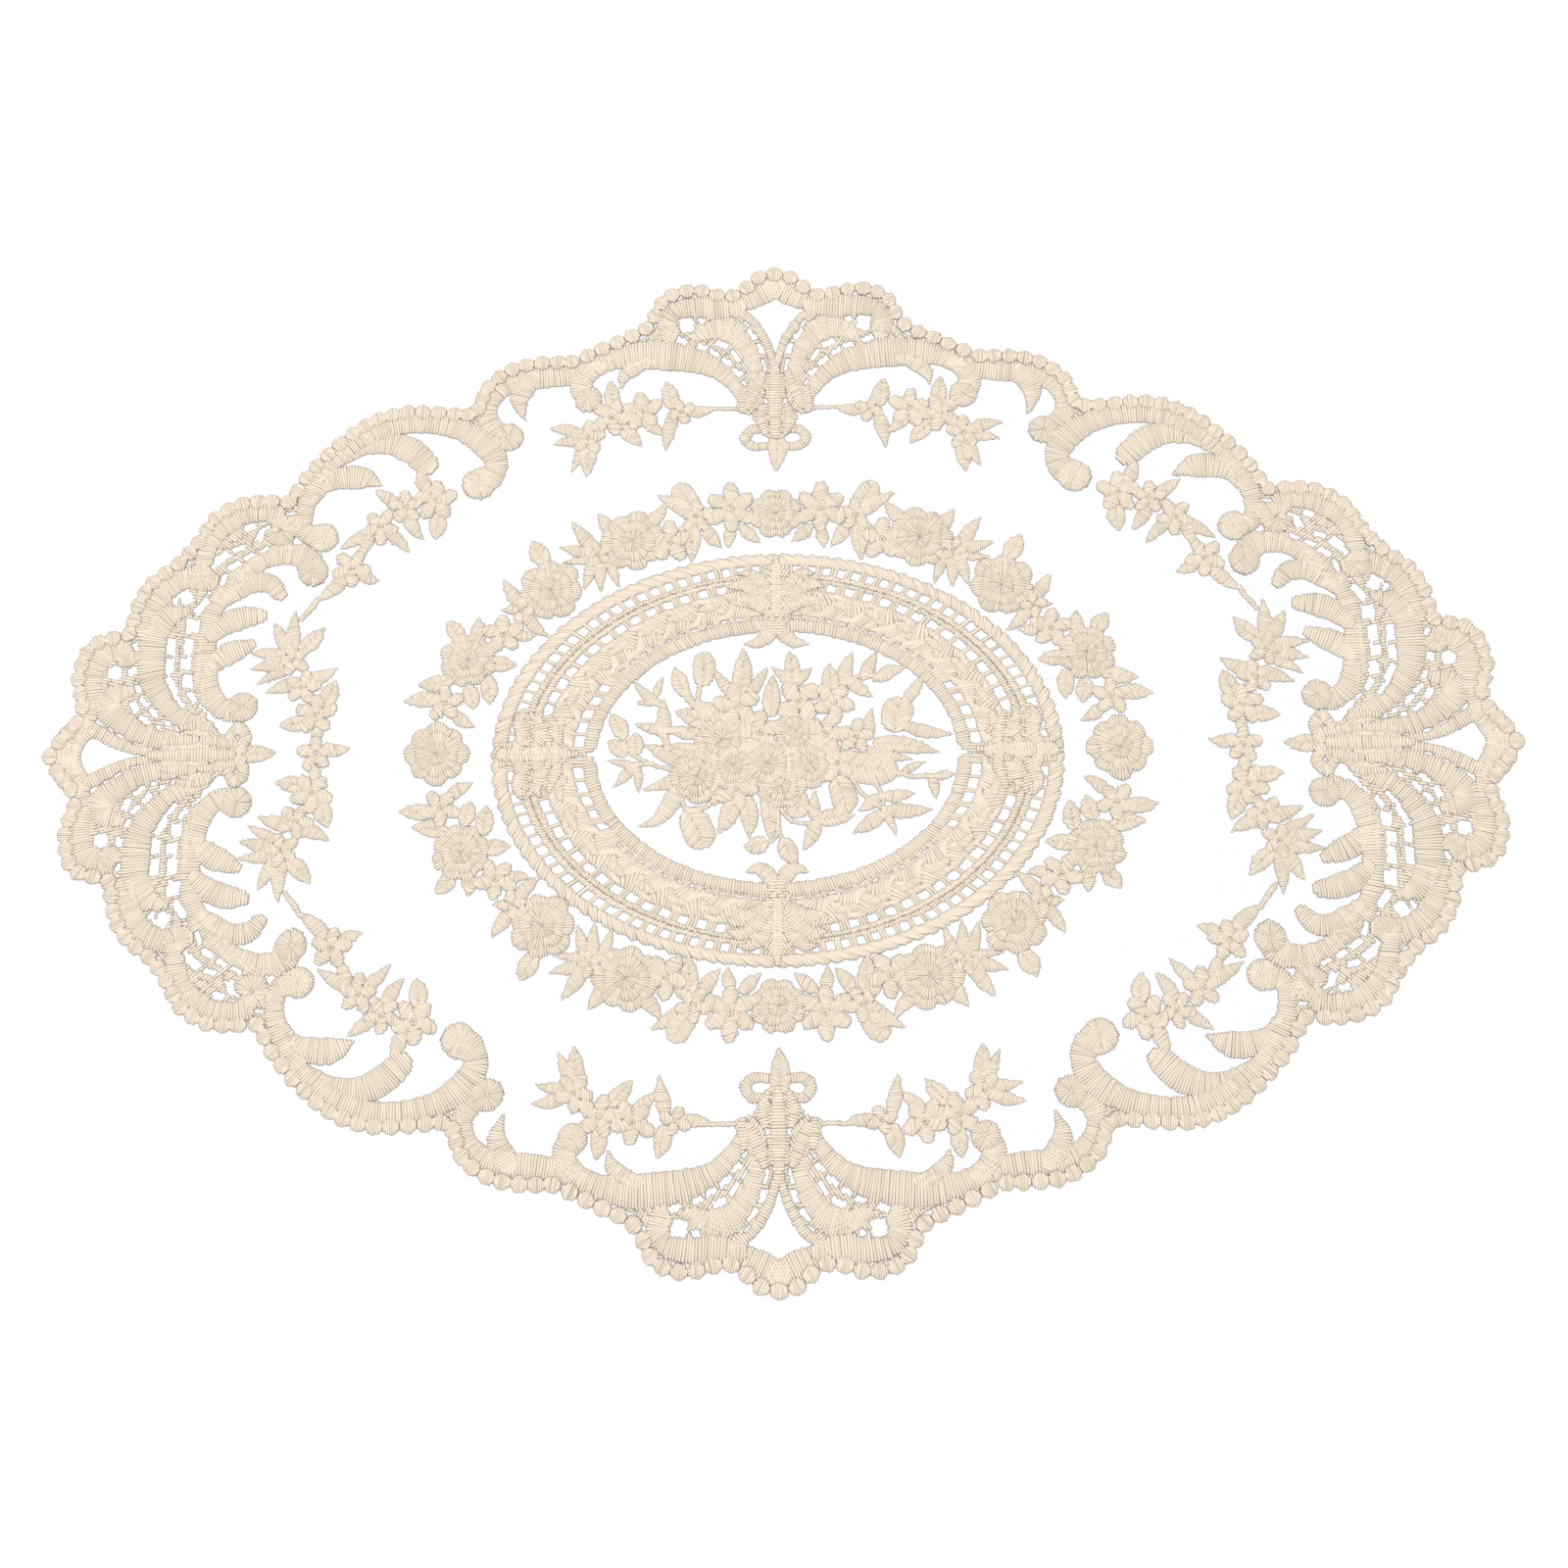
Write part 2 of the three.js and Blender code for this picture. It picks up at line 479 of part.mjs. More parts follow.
const mesh = cloth.getMesh();
const geometry = new THREE.BufferGeometry();
geometry.setAttribute('position', new THREE.BufferAttribute(mesh.vertProperties, 3));
geometry.setIndex(new THREE.BufferAttribute(mesh.triVerts, 1));
geometry.computeVertexNormals();

const placemat = new THREE.Mesh(geometry, SAND);
placemat.name = 'placemat';

const part = new THREE.Group();
part.add(placemat);

export default part;
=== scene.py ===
import math

import bmesh
import bpy
import numpy as np
from mathutils import Matrix


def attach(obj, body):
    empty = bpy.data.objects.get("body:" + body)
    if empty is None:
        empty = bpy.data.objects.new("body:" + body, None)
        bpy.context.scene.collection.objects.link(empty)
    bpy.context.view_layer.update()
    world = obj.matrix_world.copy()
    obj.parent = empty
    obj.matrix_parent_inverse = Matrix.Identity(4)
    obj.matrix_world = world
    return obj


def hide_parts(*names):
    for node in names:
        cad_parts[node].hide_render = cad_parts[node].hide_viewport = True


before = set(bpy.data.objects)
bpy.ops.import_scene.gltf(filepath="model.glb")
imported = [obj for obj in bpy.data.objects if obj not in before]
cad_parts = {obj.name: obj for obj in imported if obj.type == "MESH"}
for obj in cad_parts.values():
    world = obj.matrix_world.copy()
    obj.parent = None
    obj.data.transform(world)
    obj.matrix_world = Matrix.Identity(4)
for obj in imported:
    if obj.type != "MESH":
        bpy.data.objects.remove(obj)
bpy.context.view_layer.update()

MM = 0.001
CLOTH_THICK = 0.06
CLOTH_FACE = 0.08  # height of the cloth's upper face
STITCH_BASE = 0.09  # height of the lowest stitches' underside
RISE = 0.2  # a stitch stands this high over its base
STEP_UP = 0.08  # each stitched layer over another stands this much higher
RIB = 0.92  # stitches of the scrolls and bands lie about a millimetre apart
FINE = 0.68  # those of leaves and petals lie closer
OVERLAP = 1.3  # a stitch is wider than its share, so that it presses against its neighbours

# How unevenly the stitches lie. Pairs are a mean and a spread.
WANDER = 0.06
END_REACH = (0.05, 0.13)
RISE_SPREAD = (1, 0.04)
TONE_SPREAD = (0.84, 0.11)
END_SLOPE = 0.3  # mm over which a stitch rises at each end

# The medallion, its two ends and the wreath lie a little off the mat's long axis.
MEDALLION_Y = -2.0
ENDS_Y = -0.9
WREATH_Y = -0.45
WREATH_DROP = -0.5  # the whole wreath is moved by this much more

LINE_STEP = 0.2  # from point to point of a smooth line
PICOT_RADIUS = 2.4
PICOT_STITCHES = 7
PICOT_LAYER = 3
PICOT_INSET = 0.35
EDGE_CORD_INSET = 3.3
EDGE_CORD_WIDE = 1.1
EDGE_CORD_PITCH = 0.9
CLOTH_INSET = 0.9

# Width of a leaf along its length, as a share of its widest, for each kind.
LEAF_PLACES = np.array([0, 0.12, 0.35, 0.62, 0.85, 1])
STEM_SPREAD = np.array([0.7, 0.9, 1, 1, 0.9, 0.6])
LEAF_SPREAD = np.array([0.5, 0.86, 1, 0.76, 0.34, 0.05])
BROAD_SPREAD = np.array([0.5, 0.9, 1, 0.96, 0.62, 0.2])
STEM_WIDE = 2  # up to this width it is a stem
VEINED_WIDE = 5  # from this width a leaf has a vein
BROAD_WIDE = 6.6

ROSE_PETALS = 7  # a flower with this many petals or more is a rose
FLOWER_LAYER = 1  # flowers lie over the leaves
LOBE_LENGTH = 10.8  # one wave of the medallion's lobed band
ROPE_LENGTH = 8.2  # one turn of its rope

chance = np.random.default_rng(1905)

# The border, garlands and wreath are drawn for the quarter where x and y are positive.
# Picot path along the scalloped edge. Columns: x, y, picots up to the next row.
EDGE = [
    [0, 158, 1], [5.2, 156.8, 1], [9.2, 153.4, 1], [13.6, 150.6, 1], [18.6, 151, 1], [23.4, 152.4, 1],
    [28.4, 152.6, 1], [33.2, 151.2, 1], [36.8, 148.2, 1], [38.8, 143.8, 1], [41.6, 139.6, 1],
    [45.9, 137, 1], [50.6, 135, 2], [60, 130.4, 1],
    [65, 128.4, 2], [74.5, 128.2, 2], [84, 126, 2], [91.6, 120, 2], [94.4, 112.6, 1],
    [97.6, 110.8, 2], [107, 111.4, 2], [117, 111.8, 2], [126.2, 109.4, 2], [134.2, 104.6, 2],
    [141.7, 97.7, 2], [148.2, 89.9, 2], [153.2, 82, 1], [158.4, 82.2, 2], [167.8, 81.5, 2],
    [176, 76.7, 2], [180.9, 68.8, 2], [186.7, 61.8, 2], [194.2, 55.7, 2], [198.5, 48, 2],
    [200.6, 39, 1], [205.3, 37.6, 1], [209.8, 36.3, 1], [213.1, 32.9, 2], [215.2, 24.4, 2],
    [213, 15.5, 1], [214.4, 10.6, 2], [219.2, 4.8, 1], [221.8, 0, 0],
]

# Satin scrolls and long leaves of the border. Columns: x, y, wide.
SCROLLS = [
    [[0, 153.2, 7], [6.4, 150.2, 8], [12.6, 147.4, 5.4]],
    [[12.8, 145.6, 3.2], [7.8, 141.6, 3.2], [3.8, 135.8, 3], [0.9, 128, 2.4], [0, 120, 2]],
    [[12.5, 146.8, 6.6], [19, 146.2, 8.2], [26, 145.8, 8.4], [31.8, 144.6, 7.2], [34.6, 141.4, 6.6],
     [34, 137.4, 6]],
    [[25.2, 136.4, 3.5], [20.4, 138.8, 6], [14.6, 138.2, 8], [9.8, 134.4, 7.8], [6.6, 128.6, 6.4],
     [5, 120, 5.2]],
    [
        [9.8, 116.4, 6], [13, 121, 7], [18.5, 125.7, 7.8], [26, 128.6, 9.4], [35, 129.8, 10],
        [44, 130, 9], [51.8, 128.6, 6.8], [58.6, 125, 6.4], [61.8, 119.6, 6.6], [59.4, 115.6, 8.2],
    ],
    [[40, 127.6, 3], [44.5, 126, 5], [47.8, 123, 4], [49, 119, 0.4]],
    [
        [56, 127, 5], [62, 124.4, 6.6], [70, 123, 6.8], [78, 122.4, 7], [85, 120.8, 6.8],
        [90, 116, 6.2], [91.3, 110, 6], [88.5, 104.8, 6.6], [84.2, 102.6, 8.4],
    ],
    [[78, 121.8, 6.5], [80.9, 117, 6.4], [81, 112.8, 4], [79.4, 108.4, 0.4]],
    [
        [93.4, 87.2, 9.6], [89.8, 89.2, 8.4], [88, 93.4, 7], [89.6, 97.6, 8], [93.6, 101.8, 8],
        [99.5, 105.2, 7], [107.5, 107.2, 6.4], [116, 107.6, 6.4], [124, 106, 6.4], [132, 102, 6.4],
        [138.5, 96.5, 6.4], [143.3, 90, 6.4], [146.8, 83, 5.8], [148, 76.5, 5.2], [146.8, 71.4, 5.6],
        [142, 69.6, 8.6],
    ],
    [[136.4, 95.2, 2.4], [130.5, 99.6, 5.4], [123, 101, 7.2], [116, 98.8, 8.4], [110.6, 94.2, 7.8]],
    [[145, 82.4, 3], [141.8, 87.4, 5.4], [136, 89.6, 7.4], [130, 89.4, 7], [124.4, 87, 0.8]],
    [[151.6, 74.4, 6], [156, 77.2, 6.4], [163, 77.8, 6.4], [169.5, 76, 6.4],
     [174.4, 72.4, 6.4], [177.6, 67.5, 6.4], [178.6, 60.5, 6]],
    [[157, 70.2, 5], [152.6, 69.6, 5.6], [149.6, 73, 5]],
    [
        [177.8, 56.4, 8.4], [182.5, 56.8, 7.2], [187.2, 55.4, 8], [191.4, 52, 8.4],
        [194.4, 47, 7.6], [195.5, 41, 6.6],
    ],
    [
        [183.6, 46, 3.4], [187.6, 44.8, 6.6], [191.4, 40, 8.2], [192.7, 33, 8.8], [192, 25, 8.4],
        [188.2, 18, 7], [182.3, 12.3, 6], [175.5, 8.4, 5.6],
    ],
    [
        [144.2, 58.2, 8.6], [146.2, 62.4, 8.2], [151, 64.2, 6.8], [157.5, 63.4, 6.4], [164, 60, 6.6],
        [169.4, 55, 6.6], [173.4, 48.8, 6], [175.6, 41, 6.2], [176, 33, 6.4], [175.4, 25, 6.6],
        [172.8, 17.6, 6.6], [168.4, 13.9, 6.6], [163.6, 15, 8.6],
    ],
    [[171, 48.8, 3], [168, 52.4, 6.6], [162.6, 55, 6.4], [157.4, 54.6, 6], [154.4, 51.6, 4.6]],
    [[174, 38.4, 5], [169.6, 42, 7], [164.6, 43.8, 7], [160.4, 44.2, 5]],
    [[174, 27.4, 4], [170.4, 31, 7], [166.4, 33, 6.6], [162.8, 34.6, 4]],
    [[199.6, 31.5, 5.6], [203, 33.8, 7.2], [207.2, 32.6, 7.6], [209.8, 28.6, 7], [210.8, 23, 7],
     [210.4, 17, 6.6], [211.2, 11.5, 6]],
    [[199, 20.2, 4], [203.4, 18.8, 7], [204.6, 14.8, 8], [200.6, 10.6, 7.6], [194, 7, 7.4],
     [186, 4.6, 6.4], [176, 2.2, 6]],
    [[211.5, 9.6, 4.6], [205, 6.2, 4.4], [198, 3, 3.8], [188, 0.9, 3]],
    [[213.2, 9.6, 6], [216, 5.6, 8], [217.8, 0, 8.6]],
    [[163.5, 1.5, 3], [161.8, 5.2, 3.6], [164.2, 8.4, 3.8], [166.4, 6.2, 3]],
    [[3.4, 103.4, 2.6], [7.2, 104, 3], [9.6, 101, 3.2], [7, 98.3, 3], [3, 98.4, 2.6]],
    [[214, 0.2, 3.2], [212.6, 4, 3.4], [209.8, 7.4, 2.4]],
    [[12.6, 143.2, 1.3], [8, 138.6, 1.4], [4.6, 132, 1.5], [2.2, 124, 1.6]],
]

# Round ends of the curls. Columns: x, y, radius.
CURLS = [
    [155, 72, 5], [32.6, 137.4, 3.4], [59.4, 115, 4.2], [84.4, 102.6, 4.6], [93.2, 86.8, 5],
    [141.4, 69.6, 4.6], [144.2, 58.6, 4.6], [163.4, 15, 4.6], [178.6, 57, 4.4], [200.6, 31.4, 3.4],
]

# Dense stitching that joins the scrolls: stitch direction in degrees, then x, y corners.
NETS = [
    [58, [36, 132], [35, 138], [32, 143], [26, 145], [18, 144.6], [12, 141.6], [6.5, 136], [3.6, 128],
     [3.6, 117], [10, 115.6], [14, 121], [20, 126], [28, 129.5]],
    [38, [178, 55], [180, 62], [178, 70], [172, 76], [165, 78], [157, 79], [152, 82], [146.6, 80],
     [146.6, 66], [152, 65.6], [160, 62.6], [166, 58], [171, 53], [174, 50]],
    [12, [200, 41], [204, 34], [209, 27], [209, 20], [205, 14], [196, 6], [184, 2], [174, 8], [174, 16],
     [176.6, 26], [177.6, 40], [175.6, 50], [179, 55], [187, 55], [193, 49]],
    [70, [41.6, 134], [38, 139.4], [33.6, 137], [35, 131]],
    [20, [100, 109], [95, 111.6], [91, 112], [90.4, 104], [97, 104]],
    [60, [154.6, 81.6], [150.4, 85], [146.6, 81], [149, 76], [154, 77]],
    [60, [60, 130], [54, 133], [50, 133], [52, 127], [60, 126]],
]

# Stitched patches of the fans where the scrolls meet: stitch direction in degrees, then x, y corners.
FAN_PATCHES = [
    [0, [0, 123.5], [2.8, 122.4], [3.4, 114.6], [0, 113.6]],
    [62, [2.8, 122.8], [5.2, 122.4], [9.8, 118.6], [11.8, 114.4], [12.4, 110.4], [8, 109], [4, 112.4]],
    [34, [0, 113.4], [3.8, 112.2], [7.6, 108.8], [4.6, 105.4], [3, 101.6], [0, 100.4]],
    [90, [190, 0], [187, 4.4], [181.6, 8.4], [176.4, 3.4], [176, 0]],
    [28, [181.6, 8.6], [175.6, 11.8], [171.8, 9.6], [169.4, 6], [175.6, 3.4]],
    [64, [175.6, 3.2], [169.2, 6.4], [165, 5.2], [161.4, 2.6], [161, 0], [175.6, 0]],
]

# Leaves laid over the patches of the two fans on the axes. Columns: x, y, wide.
FAN_LEAVES = [
    [[0, 124, 3], [0, 117, 4.4], [0, 109, 4.2], [0, 102, 2.6]],
    [[4.2, 122.4, 2.6], [6.2, 117.4, 4], [8.4, 112.6, 3.4]],
    [[9.8, 118.4, 2], [10.2, 114.6, 3], [10.4, 111, 2.6]],
    [[4, 111.2, 2.6], [4.6, 107.4, 3.4], [3.4, 103.2, 2.2]],
    [[190, 0, 2.6], [183, 0, 4], [175, 0, 4.4], [166, 0, 3]],
    [[187.4, 4, 2.4], [182.4, 4.6, 3.6], [177.6, 4.6, 3]],
    [[181, 8.6, 2], [176, 9, 3], [171.6, 7.6, 2.4]],
    [[174.6, 4.4, 2.6], [169.6, 4, 3.4], [164.8, 2.8, 2.2]],
]

# Open cells between the stitches of the border, where only the sheer cloth shows.
# Columns: from x, from y, to x, to y, wide.
CELLS = [
    [28.6, 142.9, 28.1, 138, 4.8], [24.8, 142.2, 22.4, 141.6, 2], [31.6, 135.7, 27.9, 133.9, 2.4],
    [24.9, 133.2, 21.6, 132, 2], [21, 131.4, 17.9, 129.4, 2], [19, 134.3, 15, 132.7, 2.3],
    [13.9, 131.4, 11.2, 127.7, 1.8], [17, 128.5, 13.6, 126.2, 2.1], [13.2, 125.2, 10.8, 122.3, 1.9],
    [10.4, 126.8, 9.1, 124.2, 1], [10.7, 120.9, 8.8, 118.6, 1.2], [10, 141.5, 8, 139.5, 0.8],
    [9.2, 138.7, 6.2, 134.8, 1.8], [5.7, 133.7, 4.1, 129.3, 1.4], [4.1, 128.1, 3, 123.6, 1.1],
    [6.8, 101.2, 4, 101.6, 1.9], [39.6, 140.2, 38.6, 139.2, 1], [52.8, 133.2, 51.6, 132.6, 1],
    [97, 108.3, 94.4, 108.3, 1.9],
    [169.9, 65.7, 165.9, 66.9, 1.8], [175, 61.8, 170.8, 65.2, 2.8], [176.3, 60.9, 174.3, 59, 1.4],
    [171.2, 58.5, 172.7, 54.1, 1.7], [170.8, 59.6, 167, 61.9, 2.2], [166.4, 62.6, 163, 64.6, 1.8],
    [161.8, 64.9, 158.2, 66.5, 1.4], [166.7, 73, 163, 73.9, 2.4], [162.1, 68.6, 160.8, 72.8, 2.3],
    [161.2, 72.2, 158.1, 73.7, 1.4], [162.1, 74.7, 159.9, 74.7, 0.9], [153.9, 78.3, 151, 78.5, 2.5],
    [151.2, 68.1, 148.2, 68.1, 1.3], [149.9, 70, 149.9, 67.8, 1.4], [151.1, 83.6, 150.7, 82.2, 1],
    [186.9, 37.5, 186.9, 31.9, 2.8], [186.9, 31, 186.9, 25.7, 2.8], [187.2, 24.8, 184.5, 19.6, 2.4],
    [184.9, 19, 181.3, 14.9, 1.7], [180.2, 45, 176.3, 50, 2.6], [180.6, 43.6, 180.6, 38.6, 4.2],
    [181.5, 37.2, 181.5, 31.9, 3.1], [182, 31, 182, 26.9, 3.5], [181.1, 25.5, 181.1, 21, 3.2],
    [180.4, 20, 178.2, 16.5, 2], [176.8, 15.5, 173.2, 12.5, 1.1], [184.4, 52.7, 182, 48.4, 3.8],
    [186.8, 50.8, 186.3, 47.6, 1.6], [205.9, 26.3, 201.6, 26.3, 4], [199.5, 26.6, 196.8, 26.8, 2.8],
    [196.7, 22.5, 195.4, 19.8, 2], [197.7, 17.1, 196, 13.4, 2.3], [195.3, 18.3, 192.6, 15.5, 1.9],
    [194.8, 12.4, 191.7, 9.7, 2], [191.9, 14.7, 189.5, 11.9, 2], [190, 9, 187, 8, 1],
    [188.5, 11, 185, 9.5, 1], [184, 9, 181.5, 7, 1], [204.3, 8.8, 202.6, 7.6, 0.6],
    [201.5, 6.8, 199, 5.4, 0.7], [196.6, 4, 193.4, 3.3, 0.6], [190, 2.3, 187, 2, 0.5],
    [171, 10.6, 168.8, 7.2, 3], [199, 36.8, 197.3, 33.4, 1.7], [184, 61.5, 181.6, 62, 1.8],
]

# Leaves, from base to tip. Columns: base x, base y, tip x, tip y, wide.
BORDER_LEAVES = [
    [0, 103.4, 0, 89.8, 6], [164, 0.3, 152.4, 0.3, 5.4], [20, 111.4, 10.5, 111.3, 1.4],
    [28.4, 110.2, 18.6, 111.6, 4], [33, 111.4, 34.8, 120.8, 5.4], [32.6, 108.4, 34.6, 97.4, 4.6],
    [42, 107.4, 35.2, 102.2, 4], [49.6, 106, 42.4, 98.8, 5], [52, 111.6, 52.5, 121.2, 5],
    [61.4, 103.2, 71.4, 105.3, 4.2], [61, 100.8, 70.4, 99.8, 3.6], [60.8, 99.6, 64.2, 90.6, 3.6],
    [58.2, 99.6, 59.5, 88.9, 5], [109.4, 85, 112.6, 92.2, 4.8], [105.8, 77.4, 106.4, 68.6, 5.6],
    [118.4, 80.4, 126, 85.4, 4.2], [115.6, 77, 110.2, 68.6, 4.6], [121.8, 71.6, 114.4, 64.4, 4],
    [127, 71.4, 136, 65.8, 4.2], [126.4, 70, 129.8, 61.8, 3.8], [129.8, 57.8, 123.2, 55, 4],
    [134, 56.2, 142.6, 48.8, 4.6], [141.6, 50.2, 147.4, 42.4, 1.8], [148.6, 32.6, 148.8, 45.6, 4.8],
    [150.2, 33, 155.2, 41.8, 4.6], [151.4, 31.8, 162, 32.2, 4], [151, 29.6, 161.4, 27, 4.6],
    [147, 32.6, 139.6, 40, 5.2], [149.8, 26.6, 159.6, 22, 3.4], [145.6, 22.4, 156.6, 19.4, 4.8],
    [144.4, 22.6, 134.8, 27, 4.8], [138.8, 14.4, 135.2, 23, 5.8], [142.6, 10.4, 151.6, 9, 5],
    [140.2, 8, 140.4, 3, 4], [137, 0.7, 130, 1.6, 4.2],
]
WREATH_LEAVES = [
    [10.8, 71.6, 5, 66.6, 4.2], [14, 71, 14.8, 64.8, 4], [22, 71.6, 17, 65.2, 4.6],
    [24.8, 78.4, 30.8, 86, 7], [27, 77, 37, 82.6, 4.8], [25.6, 73, 26.3, 60.6, 5.2],
    [40, 72.6, 34, 80, 4.6], [26.8, 73.4, 30.4, 70.2, 3], [50.4, 70.4, 55.4, 76.8, 4.8],
    [56.6, 64.8, 63.6, 74, 4.8], [57.6, 63.8, 67.2, 66, 4], [57, 61.8, 66.2, 61, 2.8],
    [56.6, 62, 59.4, 51.8, 4], [54.4, 61.6, 54.2, 51.2, 4], [52.6, 62, 48.8, 52.6, 3.4],
    [71, 60.4, 75.8, 68, 6], [79.4, 48, 84.5, 55.2, 4.4], [77.6, 44, 70.4, 37, 4.2],
    [80, 37.4, 74, 37.4, 3.6],
    [80.4, 45.6, 84.6, 45.6, 2.6], [97.2, 36, 101.6, 42, 5.2], [92, 37, 91.8, 43, 4.6],
    [89, 28.6, 79.8, 27.8, 5], [88.6, 24.4, 87.6, 15.4, 5.4], [99, 23.6, 109.8, 21.8, 5.2],
    [103, 16.8, 113.8, 16.6, 5], [94.6, 21.4, 92.4, 14, 5.2], [98.6, 12.4, 92, 8.2, 4],
]
BOUQUET_LEAVES = [
    [-27.4, 17, -31.2, 26, 5], [-22.6, 20, -22.2, 30.4, 6.8], [-17, 11.6, -25, 15.2, 4.2],
    [-20, 7.4, -30.8, 12, 5.6], [-34.8, 5, -34.8, 15.8, 4.8], [-36, 14.4, -43.6, 21.8, 3.2],
    [-37, 17, -34.6, 22.8, 2.4], [-36, 15.4, -43, 15, 2.2], [-33.4, 6, -43.2, 8.2, 3.6],
    [-25, 4, -34.6, 6.6, 3.4], [-46.4, 3.6, -50.4, 11.4, 5.2], [-45.6, -1.6, -51.2, 2.6, 5.2],
    [-42.2, -1.4, -43, 5.4, 5], [-43.4, -5, -51.4, -3.2, 2.4], [-42.8, -4.6, -49.4, -11.6, 3.4],
    [-42.4, -4.8, -41.8, -13.2, 3], [-29, -5, -40.8, 1.8, 4.4], [-19, -1.4, -34.4, 1.6, 5.6],
    [-26.6, -7, -40.6, -12.4, 4.2], [-27.4, -18.6, -22, -30, 9.4], [-12.6, -14.6, -17.6, -26, 5.6],
    [-9.4, -14.6, -8.4, -27, 5.6], [-3.4, -13.4, -2.2, -28.4, 5.4], [-2.8, -28.6, -9.8, -30, 5.4],
    [1.6, -27.6, 5.8, -35.8, 5.6], [4, -12, 6.8, -21, 7.4], [11.6, -22.4, 11.4, -13.2, 4],
    [12, -22.2, 23.2, -20.8, 5.4], [12, -23, 7.8, -31.2, 4.6], [17.6, -8.6, 20.8, -19.6, 7.8],
    [30.6, -15.2, 24.4, -19.4, 4], [32.4, -15, 41.4, -14.2, 4], [32.6, -19.2, 46.6, -19.2, 4.6],
    [31.6, -20.2, 22.6, -26.2, 4.8], [31.8, -19.6, 35.6, -27, 2.8], [19, -4.2, 36, -7, 10],
    [48.6, -9, 53.2, -8.4, 3], [38, -7.8, 44.6, -4.6, 2.6], [46.4, -9, 47.8, -16, 3.2],
    [28, -0.6, 41, -3.6, 3.8], [29, 1.4, 48.8, -1.6, 5.2], [38.6, 6.8, 53.2, 4, 4.2],
    [35.6, 4.6, 37.8, 14.8, 9.4], [38.4, 13.8, 44.8, 23.2, 3.8], [28, 4.6, 28.8, 12.2, 3.8],
    [17, 17.6, 16.2, 26.4, 5.2], [20.4, 20, 23.2, 30.2, 4.8], [26.6, 22.4, 30.6, 29.8, 4.4],
    [30.2, 21.8, 39.6, 25.4, 4.4], [22, 21.4, 29, 16, 4.4], [4.8, 19.6, 3.9, 30.8, 5],
    [4.4, 20.2, -1.6, 25.6, 3.4], [5, 20.4, 10.8, 25.4, 3.6], [-1.8, 10, -1.2, 23, 5.4],
    [-11.4, 17, -10.2, 31.8, 6], [-12.8, 17, -19, 25.2, 4], [-8.6, 17, -2.8, 25.6, 3.8],
]

# Stems and curling leaves of the bouquet. Columns: x, y, wide.
BOUQUET_STEMS = [
    [[-27.8, 18, 2.4], [-24.4, 13.4, 2.4], [-18, 9.4, 3]], [[-24, 14.6, 1.4], [-23.4, 20.6, 1.8]],
    [[-34, 6, 2], [-33.2, 0.4, 1.8]], [[-47, 5, 1.4], [-44.4, -0.6, 1.3], [-38, -4.4, 1.3], [-30, -6.6, 1.4]],
    [[-27, -9, 3.4], [-30.2, -13.6, 5.4], [-33.2, -18.6, 5], [-36.8, -22.2, 2.8], [-41.2, -23.5, 0.5]],
    [[-28.6, -14, 1.4], [-27.4, -18.2, 1.6], [-22.6, -18.2, 1.6], [-19, -15.8, 1.6], [-17.2, -14.2, 3]],
    [[0.1, -15, 1.3], [0, -26, 1.3], [-3, -29.2, 1.2]], [[0.2, -20, 1.2], [0.8, -26, 1.2], [2.6, -29, 1.4]],
    [[1, -18.6, 1.3], [4, -22, 1.3], [9, -23.2, 1.3], [12.8, -22.2, 1.3]],
    [[22, -9, 1.2], [26.4, -15, 1.2], [31.6, -18.8, 1.2]],
    [[29, -9.8, 1.2], [31.6, -15, 1.2], [31.8, -20, 1.2]],
    [[33, -6.6, 1.6], [40, -8.8, 1.5], [46, -9, 1.5], [50, -8.7, 1.4]],
    [[19.6, 20.2, 1.4], [26, 22.8, 1.3], [31.4, 22.2, 1.3]], [[4.2, 16, 1.6], [4.6, 21, 1.6]],
    [[-43.6, -4.8, 1.2], [-38, -4.2, 1.2]], [[-36, 6, 2.2], [-28, 6, 2.6], [-22, 5, 2.6]],
]

# Forked tails under the medallion's top and over its foot. Columns: x, y, wide, of one side.
TAILS = [
    [[0.6, 39.4, 3.4], [2.8, 35.8, 4.8], [5.6, 33.6, 3.4], [9.6, 33.1, 0.5]],
    [[0.6, -42.2, 3.4], [2.8, -38.6, 4.8], [5.6, -36.8, 3.4], [9.2, -37.8, 0.5]],
]

# Open flowers and, from seven petals up, roses. Columns: x, y, radius, petals, turned (degrees).
BORDER_FLOWERS = [
    [29.8, 110.4, 4, 4, 70], [42.2, 110.8, 6, 5, 85], [51.8, 108.8, 6, 5, 40], [59.2, 102, 5.2, 5, 95],
    [106.6, 81.4, 6.2, 5, 92], [116, 79.4, 5, 5, 85], [123.8, 73, 5.4, 5, 50],
    [132.2, 59.4, 5.6, 5, 50], [148.8, 29.8, 4.8, 5, 0], [145, 21, 5, 5, 30],
    [140.6, 12.4, 5.8, 5, 20], [140, 0, 5.2, 5, 15],
]
WREATH_FLOWERS = [
    [0, 76.2, 8.2, 8, 22], [14, 78, 7.6, 6, 90], [24.8, 75.6, 5, 5, 20], [33, 67.2, 6.2, 5, 90],
    [55.2, 63.4, 3.8, 5, 0], [79, 45.4, 3.8, 4, 10], [84, 37.8, 5.8, 5, 15], [94.6, 29.8, 8.8, 8, 20],
    [101.4, 16, 5.4, 5, 20], [44.6, 67.6, 9.8, 7, 0], [69.6, 52, 9.8, 7, 30], [103.2, 0, 9.8, 8, 0],
]
